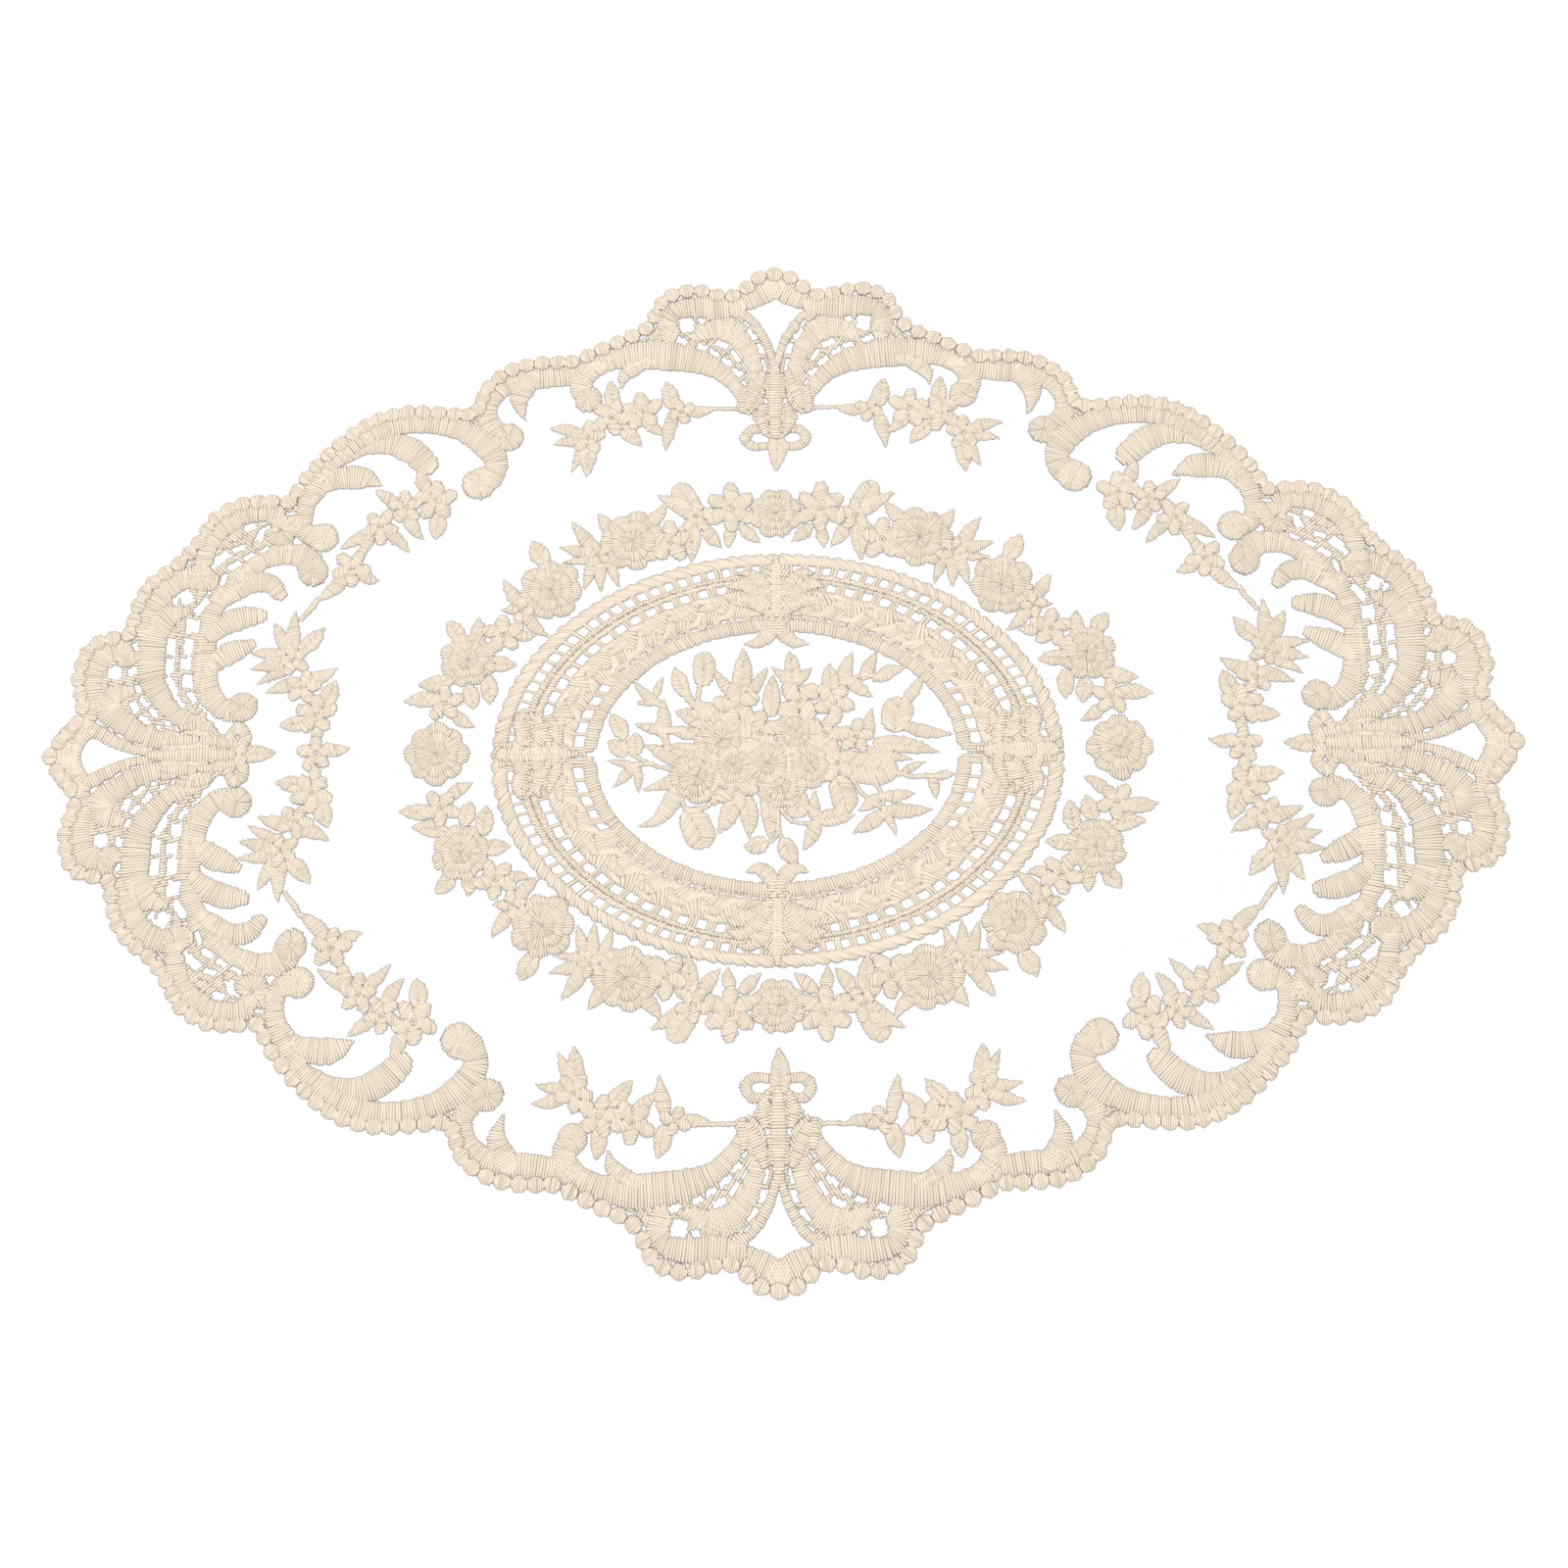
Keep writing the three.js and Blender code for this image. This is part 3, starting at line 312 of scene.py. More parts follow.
BOUQUET_FLOWERS = [
    [-12.2, 13.6, 6.6, 5, 100], [-16.4, 3.2, 8.4, 8, 10], [-5.2, 5, 6.6, 5, 20], [5.8, 5.2, 6.6, 7, 0],
    [6.8, 15, 6.4, 4, 40], [17.4, 14.4, 6, 5, 60], [14.8, 4.4, 6, 5, 0], [24, 3.6, 5, 5, 10],
    [-12.4, -12.2, 6, 5, 0], [1.4, -11.6, 7.2, 7, 0], [-3, -4.6, 8.8, 8, 0], [9.8, -4.6, 8.2, 8, 10],
    [-13, -5, 7.6, 7, 0], [-24.2, -8.4, 8.2, 8, 0], [18, -4.4, 5.6, 5, 30], [-19.6, -13.4, 3.8, 5, 0],
]

# Ovals of the medallion, each between an inner and an outer edge. Half length, half width.
RIM = [(54.7, 39.1), (58.6, 43.1)]
LOBES = [(61.9, 44.5), (70.8, 52.6)]
CORD = [(73.9, 55.3), (78.5, 57.9)]
ROPE = [(82, 60.7), (85.5, 63.4)]

# Ladders of the medallion. The open cells of one quarter are evenly spaced round an oval.
# Columns: middle of the first cell and of the last, in degrees, and how many cells.
OUTER_LADDER = (5.5, 85.5, 25)
INNER_LADDER = (16, 76.5, 14)
RIM_LADDER = (6.5, 29.5, 5)
# Share of a step that is open, at the first cell and at the last.
OPEN_SHARE = (0.7, 0.4)
# Middles of the short slits that follow the rim's cells, in degrees.
SLITS = np.arange(38.5, 84, 4.5)
SLIT_REACH = 1.1  # degrees to each side of its middle
SLIT_WIDE = 0.5
# Bars between the open cells.
BAR_LEAST = 0.7  # a bar's least width
BAR_SPARE = 0.7  # a bar is this much narrower than its place
BAR_STITCH = 0.8
BAR_ENDS = (-0.2, 1.2)  # shares of the ladder's depth, so a bar ends on the bands beside it
# One bead of the lobed band. Columns: along the band, wide.
BEAD = np.array([[-2.2, 2.4], [0, 3.4], [2.2, 2.4]])

# Pointed notches in the rim at both ends. Columns: from x, from y, to x, to y, wide.
NOTCHES = [[side * near, 0.6, side * far, 0.6, wide] for side in (-1, 1)
           for near, far, wide in ((51, 55.6, 3.6), (55, 57.6, 1.4))]

# Stitched patches over the medallion's ends: stitch direction in degrees, then x, y corners.
SIDE_PATCHES = [
    [-18, [80, 4], [78.4, 5.6], [80, 8.4], [79.4, 11.6], [77.4, 13.8], [75.2, 14.2], [73, 11.8], [71, 9],
     [70.4, 5], [73, 3.4]],
    [0, [71.4, 4], [70.4, 11.4], [68.2, 12], [66.6, 9.4], [66.2, 5], [66.2, 2]],
    [90, [84, 0.2], [84, 4], [79, 3.8], [66, 3.4], [62.6, 1.9], [64, 0.2]],
    [90, [86, 0], [86, -1], [60, -1], [60.5, 0.4], [64, 0.3]],
]
TOP_PATCHES = [
    [60, [0, 61], [4, 60.5], [4.2, 57.5], [5.5, 55.8], [9, 57], [13, 55.5], [15, 53.5], [12.5, 53],
     [11, 52.2], [6, 50.8], [0, 51.5]],
    [115, [0, 51.5], [6, 50.8], [11, 52.2], [14, 51.8], [15, 49], [10, 47], [6, 46.6], [3, 46], [0, 47]],
    [0, [0, 47], [3.5, 46.5], [4, 43], [2.5, 40], [2, 38], [0, 38]],
]

# Leaves laid over those patches, in one quarter. Columns: x, y, wide.
SIDE_LEAVES = [
    [[83.4, 0.6, 2.4], [77, 0.6, 3.2], [70, 0.6, 3.2], [63.6, 0.4, 2.4]],
    [[79, 2.4, 3], [77.2, 6, 4.4], [78.2, 10.4, 3.4], [77, 13.6, 1]],
    [[73, 2.4, 3], [71.4, 6.4, 4.2], [72.6, 10.6, 3], [71.4, 13, 1]],
    [[67, 2, 3], [66.4, 5.2, 3.4], [67.8, 9.2, 2.4], [68.6, 11.6, 0.8]],
]
TOP_LEAVES = [
    [[0, 62.6, 2], [0, 57, 3], [0, 50.4, 3], [0, 45, 2.4]],
    [[2.6, 52, 3], [4.8, 55.8, 3.8], [8.4, 58, 2.8], [11.6, 57.8, 0.8]],
    [[3, 48, 3], [6.2, 51.6, 4.4], [10.4, 54, 3.2], [14.2, 53.4, 0.8]],
    [[2.4, 45, 2.4], [5.4, 47, 3.2], [9.6, 49, 2.6], [13.6, 49.6, 0.8]],
]

# Openings cut through the cloth inside the four tips. Columns: x, y, of one half.
LONG_OPENING = [[213, 0], [211.2, 2.2], [209.6, 5.4], [208.2, 6.4], [205.4, 4], [201, 1.8], [196.8, 0]]
SHORT_OPENING = [[0, 150], [2.6, 149], [6.8, 146.2], [4.6, 142], [2.2, 137], [0, 133]]


# Lines and rows of stitches
def spline(a, b, c, d, t):
    """Part t of the way from b to c, on a smooth curve that comes from a and goes on to d."""
    return 0.5 * (2 * b + (c - a) * t + (2 * a - 5 * b + 4 * c - d) * t**2 + (3 * b - a - 3 * c + d) * t**3)


def smooth_line(rows):
    """Close points on a smooth line through the rows, which have x, y and the width there."""
    rows = np.array(rows, float)
    rows = np.vstack([2 * rows[0] - rows[1], rows, 2 * rows[-1] - rows[-2]])
    pieces = []
    for a, b, c, d in zip(rows, rows[1:], rows[2:], rows[3:]):
        count = max(2, int(np.hypot(*(c - b)[:2]) / LINE_STEP))
        t = np.linspace(0, 1, count, endpoint=False)[:, None]
        pieces.append(spline(a, b, c, d, t))
    line = np.vstack(pieces + [rows[-2][None]])
    line[:, 2] = np.maximum(line[:, 2], 0.3)
    return line


def rounded_end(line):
    """The same line, carried on past its last point by a half round as wide as the line there."""
    along = line[-1, :2] - line[-3, :2]
    along = along / np.hypot(*along)
    wide = line[-1, 2]
    reach = np.linspace(0, 0.48 * wide, 7)[1:, None]
    narrow = wide * np.sqrt(1 - (2 * reach / wide) ** 2)
    return np.vstack([line, np.hstack([line[-1, :2] + along * reach, narrow])])


def stitch_places(line, pitch):
    """Places along a line one pitch apart on the outside of its bends: x, y, direction, width."""
    x, y, wide = line.T
    run = np.hypot(np.diff(x), np.diff(y))
    way = np.unwrap(np.arctan2(np.gradient(y), np.gradient(x)))
    bend = np.abs(np.diff(way)) * 0.35 * wide[1:]
    gone = np.concatenate([[0], np.cumsum(np.maximum(run + bend, 1e-6))])
    count = max(2, int(round(gone[-1] / pitch)))
    at = (np.arange(count) + 0.5) * gone[-1] / count
    return [np.interp(at, gone, values) for values in (x, y, way, wide)]


def end_widths(x, y):
    """How wide each stitch of a row is at one end, from how far its neighbours' ends are."""
    if len(x) < 2:
        return np.full(len(x), RIB)
    gap = np.hypot(np.diff(x), np.diff(y))
    return np.clip(0.5 * (np.append(gap, gap[-1]) + np.insert(gap, 0, gap[0])) * OVERLAP, 0.3, 2.0)


def stitches(ax, ay, bx, by, layer=0.0, groove=1.0):
    """One row of stitches as an array: both ends, both widths, height of the base, depth of its grooves."""
    ax, ay, bx, by = (np.atleast_1d(np.asarray(values, float)) for values in (ax, ay, bx, by))
    size = len(ax)
    return np.column_stack([ax, ay, bx, by, end_widths(ax, ay), end_widths(bx, by),
                            np.full(size, STITCH_BASE + STEP_UP * layer), np.full(size, groove)])


def moved(rows, along_y):
    """The same stitches, moved across the mat."""
    return rows + np.array([0, along_y, 0, along_y, 0, 0, 0, 0])


def mirrored(rows, across_x=True, across_y=True, middle_y=0.0):
    """Stitches drawn from the mat's middle, with their copies on the other sides of its two axes."""
    copies = [rows]
    if across_x:
        copies += [row * np.array([-1, 1, -1, 1, 1, 1, 1, 1]) for row in copies]
    if across_y:
        copies += [row * np.array([1, -1, 1, -1, 1, 1, 1, 1]) for row in copies]
    return moved(np.vstack(copies), middle_y)


def satin(rows, pitch=RIB, slant=0.0, layer=0.0, start=True, end=True, groove=1.0):
    """A satin band: stitches straight or slanted across a smooth line, with rounded ends."""
    line = smooth_line(rows)
    if end:
        line = rounded_end(line)
    if start:
        line = rounded_end(line[::-1])[::-1]
    x, y, way, wide = stitch_places(line, pitch)
    across = way + math.pi / 2 + slant
    half = 0.5 * wide
    dx, dy = np.cos(across) * half, np.sin(across) * half
    return stitches(x - dx, y - dy, x + dx, y + dy, layer, groove)


def patch(corners, angle, longest=4.2, layer=0.0):
    """A patch filled with rows of stitches that all run at one angle."""
    turn = math.radians(angle)
    c, s = math.cos(turn), math.sin(turn)
    corners = np.array(corners, float)
    u, v = corners @ np.array([c, s]), corners @ np.array([-s, c])
    rows = []
    for level in np.arange(v.min() + 0.5 * RIB, v.max(), RIB):
        cuts = []
        for u0, v0, u1, v1 in zip(u, v, np.roll(u, -1), np.roll(v, -1)):
            if (v0 > level) != (v1 > level):
                cuts.append(u0 + (level - v0) / (v1 - v0) * (u1 - u0))
        cuts.sort()
        for left, right in zip(cuts[::2], cuts[1::2]):
            parts = max(1, int(math.ceil((right - left) / longest)))
            marks = np.linspace(left, right, parts + 1)
            marks[1:-1] += chance.uniform(-0.3, 0.3, parts - 1) * longest
            for p, q in zip(marks, marks[1:]):
                rows.append([p * c - level * s, p * s + level * c, q * c - level * s, q * s + level * c,
                             RIB * OVERLAP, RIB * OVERLAP, STITCH_BASE + STEP_UP * layer, 1])
    return np.array(rows)


def pierced(rows, cells):
    """Stitches cut short or parted where they would cross an open cell."""
    for from_x, from_y, to_x, to_y, wide in cells:
        centre = np.array([from_x + to_x, from_y + to_y]) / 2
        along = np.array([to_x - from_x, to_y - from_y])
        reach = np.hypot(*along)
        along = along / reach
        across = np.array([-along[1], along[0]])
        inward = np.column_stack([along / (0.5 * reach + 0.1), across / (0.5 * wide + 0.1)])
        a, step = (rows[:, 0:2] - centre) @ inward, (rows[:, 2:4] - rows[:, 0:2]) @ inward
        step = np.where(np.abs(step) < 1e-9, 1e-9, step)
        near, far = (-1 - a) / step, (1 - a) / step
        enter, leave = np.minimum(near, far).max(1), np.maximum(near, far).min(1)
        hit = (enter < leave) & (leave > 0) & (enter < 1)
        kept = [rows[~hit]]
        for start, stop in ((np.zeros(hit.sum()), enter[hit]), (leave[hit], np.ones(hit.sum()))):
            part = rows[hit].copy()
            whole = part[:, 2:4] - part[:, 0:2]
            part[:, 2:4] = part[:, 0:2] + whole * stop[:, None]
            part[:, 0:2] += whole * start[:, None]
            kept.append(part[np.hypot(*whole.T) * (stop - start) > 0.45])
        rows = np.vstack(kept)
    return rows


# Leaves and flowers
def veined(rows, slant):
    """A leaf in two rows of slanted stitches that meet along its middle vein."""
    x, y, way, wide = stitch_places(smooth_line(rows), FINE)
    both = []
    for side in (1, -1):
        across = way + side * (math.pi / 2 - slant)
        reach = 0.49 * wide / math.cos(slant)
        both.append(stitches(x - np.cos(across) * 0.2, y - np.sin(across) * 0.2,
                             x + np.cos(across) * reach, y + np.sin(across) * reach, groove=0.9))
    return np.vstack(both)


def leaf(base_x, base_y, tip_x, tip_y, wide):
    """A pointed leaf or, where it is narrow, a stem, from its base to its tip."""
    is_stem = wide <= STEM_WIDE
    spread = STEM_SPREAD if is_stem else BROAD_SPREAD if wide > BROAD_WIDE else LEAF_SPREAD
    t = LEAF_PLACES
    bow = 0.05 * math.sin(2.3 * base_x + tip_y) * np.sin(math.pi * t)
    rows = np.column_stack([base_x + (tip_x - base_x) * t - (tip_y - base_y) * bow,
                            base_y + (tip_y - base_y) * t + (tip_x - base_x) * bow, wide * spread])
    if wide >= VEINED_WIDE:
        return veined(rows, math.radians(28))
    slant = math.radians(-30 if is_stem else -12)
    return satin(rows, FINE, slant, start=not is_stem, end=False, groove=0.9)


def petal(x, y, turned, half_angle, inner, outer, notch=0.22, layer=0.0, groove=0.55):
    """A round-ended petal of stitches that spread from the middle of the flower."""
    count = max(4, int(round(2 * half_angle * 0.72 * outer / FINE)))
    spread = (np.arange(count) + 0.5) / count * 2 - 1
    way = turned + spread * half_angle
    reach = outer * (1 - notch * np.abs(spread) ** 2.2)
    near = np.full(count, max(inner, 0.05))
    row = stitches(x + np.cos(way) * near, y + np.sin(way) * near,
                   x + np.cos(way) * reach, y + np.sin(way) * reach, layer, groove)
    row[:, 4] = 2 * half_angle / count * near * OVERLAP
    row[:, 5] = 2 * half_angle / count * reach * OVERLAP
    return row


def crosswise_petal(x, y, turned, inner, outer, wide, layer):
    """A petal of stitches laid across it, from near the flower's middle to its outer edge."""
    reach = np.array([inner + 0.2 * wide, 0.45 * inner + 0.55 * outer, outer - 0.34 * wide])
    line = np.column_stack([x + reach * math.cos(turned), y + reach * math.sin(turned),
                            wide * np.array([0.6, 1, 0.84])])
    return satin(line, FINE, 0.3, layer, groove=0.9)


def flower(x, y, radius, petals, turned):
    """An open flower of separate petals round a button or, from seven petals up, a full rose."""
    if petals >= ROSE_PETALS:
        return rose(x, y, radius, petals, turned)
    step = 2 * math.pi / petals
    rows = []
    for k in range(petals):
        outer = radius * (1 + 0.05 * math.sin(3.1 * k + x))
        rows.append(crosswise_petal(x, y, math.radians(turned) + k * step, 0.14 * radius, outer,
                                    0.66 * step * radius, FLOWER_LAYER + 0.6 * (k % 2)))
    rows.append(petal(x, y, 0.4, math.pi, 0.1, 0.17 * radius, notch=0, layer=FLOWER_LAYER + 2, groove=1))
    return np.vstack(rows)


def rose(x, y, radius, petals, turned):
    """A full flower in three rounds of petals, each round over the one outside it."""
    # Columns: petals, inner and outer end as shares of the radius, share of a step turned, layers up.
    rounds = ((petals, 0.55, 1, 0, 0), (max(5, petals - 2), 0.3, 0.74, 0.5, 1.4), (4, 0.0, 0.4, 0.2, 2.6))
    rows = []
    for count, inner, outer, shift, up in rounds:
        step = 2 * math.pi / count
        for k in range(count):
            reach = outer * radius * (1 + 0.06 * math.sin(3.1 * k + x))
            rows.append(petal(x, y, math.radians(turned) + (k + shift) * step, step * 0.5, inner * radius,
                              reach, notch=0.17, layer=FLOWER_LAYER + up + 0.5 * (k % 2), groove=0.9))
    return np.vstack(rows)


def motifs(leaves, flowers, middle_y=0.0, whole=False):
    """Leaves and flowers, mirrored to all four quarters unless the table is whole already."""
    rows = []
    for make, table in ((leaf, leaves), (flower, flowers)):
        for row in table:
            made = make(*row)
            if not whole:
                made = mirrored(moved(made, -middle_y), row[0] != 0, abs(row[1]) >= 1, middle_y)
            rows.append(made)
    return np.vstack(rows)


# The scalloped edge
def picot(x, y, outward):
    """A small round picot of stitches that run outward."""
    place = (np.arange(PICOT_STITCHES) + 0.5) / PICOT_STITCHES * 2 - 1
    half, off = PICOT_RADIUS * np.sqrt(1 - place**2), 0.94 * PICOT_RADIUS * place
    ox, oy = math.cos(outward), math.sin(outward)
    return stitches(x - oy * off - ox * half, y + ox * off - oy * half,
                    x - oy * off + ox * half, y + ox * off + oy * half, PICOT_LAYER, 1.2)


def picot_line():
    """Places of the picots along the edge of one quarter: x, y, outward direction."""
    rows = np.array(EDGE, float)
    padded = np.vstack([2 * rows[0] - rows[1], rows, 2 * rows[-1] - rows[-2]])
    padded[0, :2] = [-rows[1, 0], rows[1, 1]]
    padded[-1, :2] = [rows[-2, 0], -rows[-2, 1]]
    places = []
    for k in range(len(rows) - 1):
        a, b, c, d = padded[k:k + 4, :2]
        count = max(1, int(rows[k, 2]))
        for t in np.arange(count) / count:
            x, y = spline(a, b, c, d, t)
            along = 0.5 * ((c - a) + 2 * (2 * a - 5 * b + 4 * c - d) * t
                           + 3 * (3 * b - a - 3 * c + d) * t**2)
            places.append([x, y, math.atan2(along[0], -along[1])])
    places.append([rows[-1, 0], rows[-1, 1], 0.0])
    return np.array(places)


def inside_path(distance):
    """The picot path moved towards the mat's middle."""
    x, y, outward = picot_line().T
    return np.column_stack([x - distance * np.cos(outward), y - distance * np.sin(outward)])


# Oval bands
def oval_places(edge, pitch):
    """Angles evenly spaced round an oval, and how far round it each lies."""
    step = 0.002
    angle = np.arange(0, 2 * math.pi + step, step)
    run = np.hypot(edge[0] * np.diff(np.cos(angle)), edge[1] * np.diff(np.sin(angle)))
    gone = np.concatenate([[0], np.cumsum(run)])
    count = int(round(gone[-1] / pitch))
    at = np.arange(count) * gone[-1] / count
    return np.interp(at, gone, angle), at


def on_oval(edges, angle, share):
    """Points part of the way from an oval band's inner edge to its outer edge."""
    (a0, b0), (a1, b1) = edges
    return (a0 + (a1 - a0) * share) * np.cos(angle), (b0 + (b1 - b0) * share) * np.sin(angle)


def oval_band(edges, from_share, to_share, lean=0.0, layer=0.0):
    """Stitches across an oval band between two shares of its depth, leaning along it in mm."""
    angle, _ = oval_places(edges[1], RIB)
    lean_angle = lean / (0.5 * (edges[1][0] + edges[1][1]))
    start, stop = np.broadcast_to(from_share, angle.shape), np.broadcast_to(to_share, angle.shape)
    ax, ay = on_oval(edges, angle - lean_angle, start)
    bx, by = on_oval(edges, angle + lean_angle, stop)
    return stitches(ax, ay, bx, by, layer)


def sway(edges, length):
    """A wave round an oval band, of about this length."""
    _, gone = oval_places(edges[1], RIB)
    around = gone[-1] + RIB
    return np.sin(2 * math.pi * gone / around * round(around / length))


def open_cells(first, last, count):
    """Evenly spaced open cells of one quarter of a ladder, in degrees round the oval: from, to."""
    middles = np.linspace(first, last, count)
    half = 0.5 * (middles[1] - middles[0]) * np.linspace(*OPEN_SHARE, count)
    return np.column_stack([middles - half, middles + half]).tolist()


def ladder(inner, outer, cells):
    """The stitches between the open cells of one quarter of an oval ladder."""
    rows = []
    for (_, stop), (start, _) in zip([[0, 0]] + cells, cells + [[90, 90]]):
        middle_way = math.radians(0.5 * (stop + start))
        per_radian = math.hypot(outer[0] * math.sin(middle_way), outer[1] * math.cos(middle_way))
        wide = max(BAR_LEAST, math.radians(start - stop) * per_radian - BAR_SPARE)
        count = max(1, int(round(wide / BAR_STITCH)))
        angle = middle_way + ((np.arange(count) + 0.5) / count - 0.5) * wide / per_radian
        from_x, from_y = on_oval((inner, outer), angle, BAR_ENDS[0])
        to_x, to_y = on_oval((inner, outer), angle, BAR_ENDS[1])
        row = stitches(from_x, from_y, to_x, to_y)
        row[:, 4:6] = wide / count * 1.15
        rows.append(row)
    return np.vstack(rows)


def slit_ladder():
    """The rim's ladder, with short slits after its last cell."""
    edges = (RIM[1], LOBES[0])
    from_x, from_y = on_oval(edges, np.radians(SLITS - SLIT_REACH), 0.5)
    to_x, to_y = on_oval(edges, np.radians(SLITS + SLIT_REACH), 0.5)
    slits = np.column_stack([from_x, from_y, to_x, to_y, np.full(len(SLITS), SLIT_WIDE)])
    return pierced(ladder(*edges, open_cells(*RIM_LADDER)), slits)


def bead(angle):
    """One oval bead laid along the lobed band."""
    x, y = on_oval(LOBES, angle, 0.6)
    way = math.atan2(LOBES[1][1] * math.cos(angle), -LOBES[1][0] * math.sin(angle))
    along, wide = BEAD.T
    line = np.column_stack([x + along * math.cos(way), y + along * math.sin(way), wide])
    return satin(line, FINE, 0.3, 1.2, groove=0.6)


def medallion_rows():
    """Rope, cord, lobed band and rim, with the ladders between them and the ornaments over them."""
    wave = 0.5 + 0.3 * sway(LOBES, LOBE_LENGTH)
    bands = [
        oval_band(ROPE, 0.0, 1.0 + 0.3 * np.abs(sway(ROPE, ROPE_LENGTH)), 1.6),
        oval_band(CORD, 0.0, 0.48, 0.3, 0.5),
        oval_band(CORD, 0.52, 1.0, -0.3, 0.5),
        oval_band(LOBES, 0.0, wave, -1.2),
        oval_band(LOBES, wave, 1.0, 1.2, 0.3),
        oval_band(RIM, 0.0, 1.0, 0.2, 0.6),
        mirrored(ladder(CORD[1], ROPE[0], open_cells(*OUTER_LADDER))),
        mirrored(ladder(LOBES[1], CORD[0], open_cells(*INNER_LADDER))),
        mirrored(slit_ladder()),
    ]
    bands += [bead(angle) for angle in oval_places(LOBES[1], LOBE_LENGTH)[0]]
    rows = [moved(pierced(np.vstack(bands), NOTCHES), MEDALLION_Y)]
    for patches, longest, middle_y in ((SIDE_PATCHES, 2.6, ENDS_Y), (TOP_PATCHES, 3.4, MEDALLION_Y)):
        rows += [mirrored(patch(row[1:], row[0], longest, layer=2), middle_y=middle_y) for row in patches]
    for leaves, middle_y in ((SIDE_LEAVES, ENDS_Y), (TOP_LEAVES, MEDALLION_Y)):
        rows += [mirrored(satin(row, RIB, 0.2, 2.6), middle_y=middle_y) for row in leaves]
    rows += [mirrored(satin(row, FINE, layer=1, groove=0.6), across_y=False) for row in TAILS]
    return np.vstack(rows)


# Threads
def thread_shape():
    """One stitch, one long, wide and high: a thread that is crowned across and along."""
    shape = bmesh.new()
    bmesh.ops.create_grid(shape, x_segments=2, y_segments=3, size=0.5)
    for vert in shape.verts:
        k = int(round((vert.co.y + 0.5) * 3))
        pinch = 0.8 if k in (0, 3) else 1.0
        vert.co = (vert.co.x * pinch, (0, 0.2, 0.8, 1)[k], (0, 1, 1, 0)[k])
    rim = [edge for edge in shape.edges if edge.is_boundary]
    bmesh.ops.holes_fill(shape, edges=rim, sides=0)
    bmesh.ops.recalc_face_normals(shape, faces=shape.faces[:])
    return shape


def loosened(rows):
    """The stitches a little off their places, with their directions and lengths."""
    rows = np.array(rows)
    rows[:, :4] += chance.normal(0, WANDER, (len(rows), 4))
    along = rows[:, 2:4] - rows[:, 0:2]
    length = np.hypot(along[:, 0], along[:, 1])
    along /= np.maximum(length, 1e-6)[:, None]
    rows[:, 0:2] -= along * chance.normal(*END_REACH, (len(rows), 1))
    rows[:, 2:4] += along * chance.normal(*END_REACH, (len(rows), 1))
    return rows, along, length


def repeated_mesh(name, points, faces):
    """One mesh of many copies of a shape, from each copy's points in mm, and its corners' vertices."""
    count, size = points.shape[:2]
    loops = (np.array(sum(faces, [])) + size * np.arange(count)[:, None]).ravel()
    sides = np.tile([len(face) for face in faces], count)
    mesh = bpy.data.meshes.new(name)
    mesh.vertices.add(count * size)
    mesh.vertices.foreach_set("co", (points * MM).ravel())
    mesh.loops.add(len(loops))
    mesh.loops.foreach_set("vertex_index", loops)
    mesh.polygons.add(len(sides))
    mesh.polygons.foreach_set("loop_start", np.concatenate([[0], np.cumsum(sides)[:-1]]))
    mesh.polygons.foreach_set("loop_total", sides)
    mesh.update(calc_edges=True)
    mesh.validate()
    # The flat underside keeps its own normals, so that the crown is shaded smoothly up to its rim.
    mesh.polygons.foreach_set("use_smooth", sides == 4)
    return mesh, loops


def lay_threads(name, rows, material):
    """A piece of many threads: one stitch shape, laid once for each row."""
    shape = thread_shape()
    shape.verts.ensure_lookup_table()
    base = np.array([vert.co[:] for vert in shape.verts])
    faces = [[vert.index for vert in face.verts] for face in shape.faces]
    shape.free()

    rows, straight, length = loosened(rows)
    side = np.column_stack([straight[:, 1], -straight[:, 0]])
    along = rows[:, 2:4] - rows[:, 0:2]
    u, t, h = base.T
    at_edge = np.abs(u) > 0.3
    slope = np.clip(END_SLOPE / np.maximum(length, 0.1), 0.03, 0.3)[:, None]
    t = np.where(t < 0.1, 0, np.where(t > 0.9, 1, np.where(t < 0.5, slope, 1 - slope)))
    wide = rows[:, 4:5] + (rows[:, 5:6] - rows[:, 4:5]) * t
    flat = rows[:, None, 0:2] + along[:, None] * t[:, :, None] + side[:, None] * (u * wide)[:, :, None]
    rise = RISE * np.minimum(1, 0.6 + 0.15 * length)[:, None] * chance.normal(*RISE_SPREAD, (len(rows), 1))
    shoulder = np.where(at_edge, 1 - rows[:, 7:8] * 0.6, 1)
    z = rows[:, 6:7] + h * rise * shoulder
    mesh, loops = repeated_mesh(name, np.dstack([flat, z]), faces)

    own = chance.normal(*TONE_SPREAD, (len(rows), 1))
    # Painted shade: each stitch is made darker along its sides, where it meets its neighbours (more so the
    # deeper its grooves), and darker at both ends, where it dips into the cloth. This is added to the
    # stitch's own random tone and stored as a point attribute.
    tone_with_painted_shade = own - (0.12 + 0.18 * rows[:, 7:8]) * at_edge - 0.2 * ((t < 0.01) | (t > 0.99))
    mesh.attributes.new("tone_and_painted_shade", "FLOAT", "POINT").data.foreach_set("value", np.clip(tone_with_painted_shade, 0, 1).ravel())
    offset = chance.uniform(0, 50, (len(rows), 2))
    uv = np.dstack([u * wide + offset[:, :1], length[:, None] * t + offset[:, 1:]]).reshape(-1, 2)
    mesh.uv_layers.new(name="along_thread").data.foreach_set("uv", uv[loops].ravel())
    return shown(name, mesh, material)


def shown(name, mesh, material):
    """The mesh as a piece of the mat, in the CAD solid's place."""
    piece = bpy.data.objects.new(name, mesh)
    bpy.context.scene.collection.objects.link(piece)
    mesh.materials.append(material)
    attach(piece, "root")
    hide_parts("placemat")
    return piece


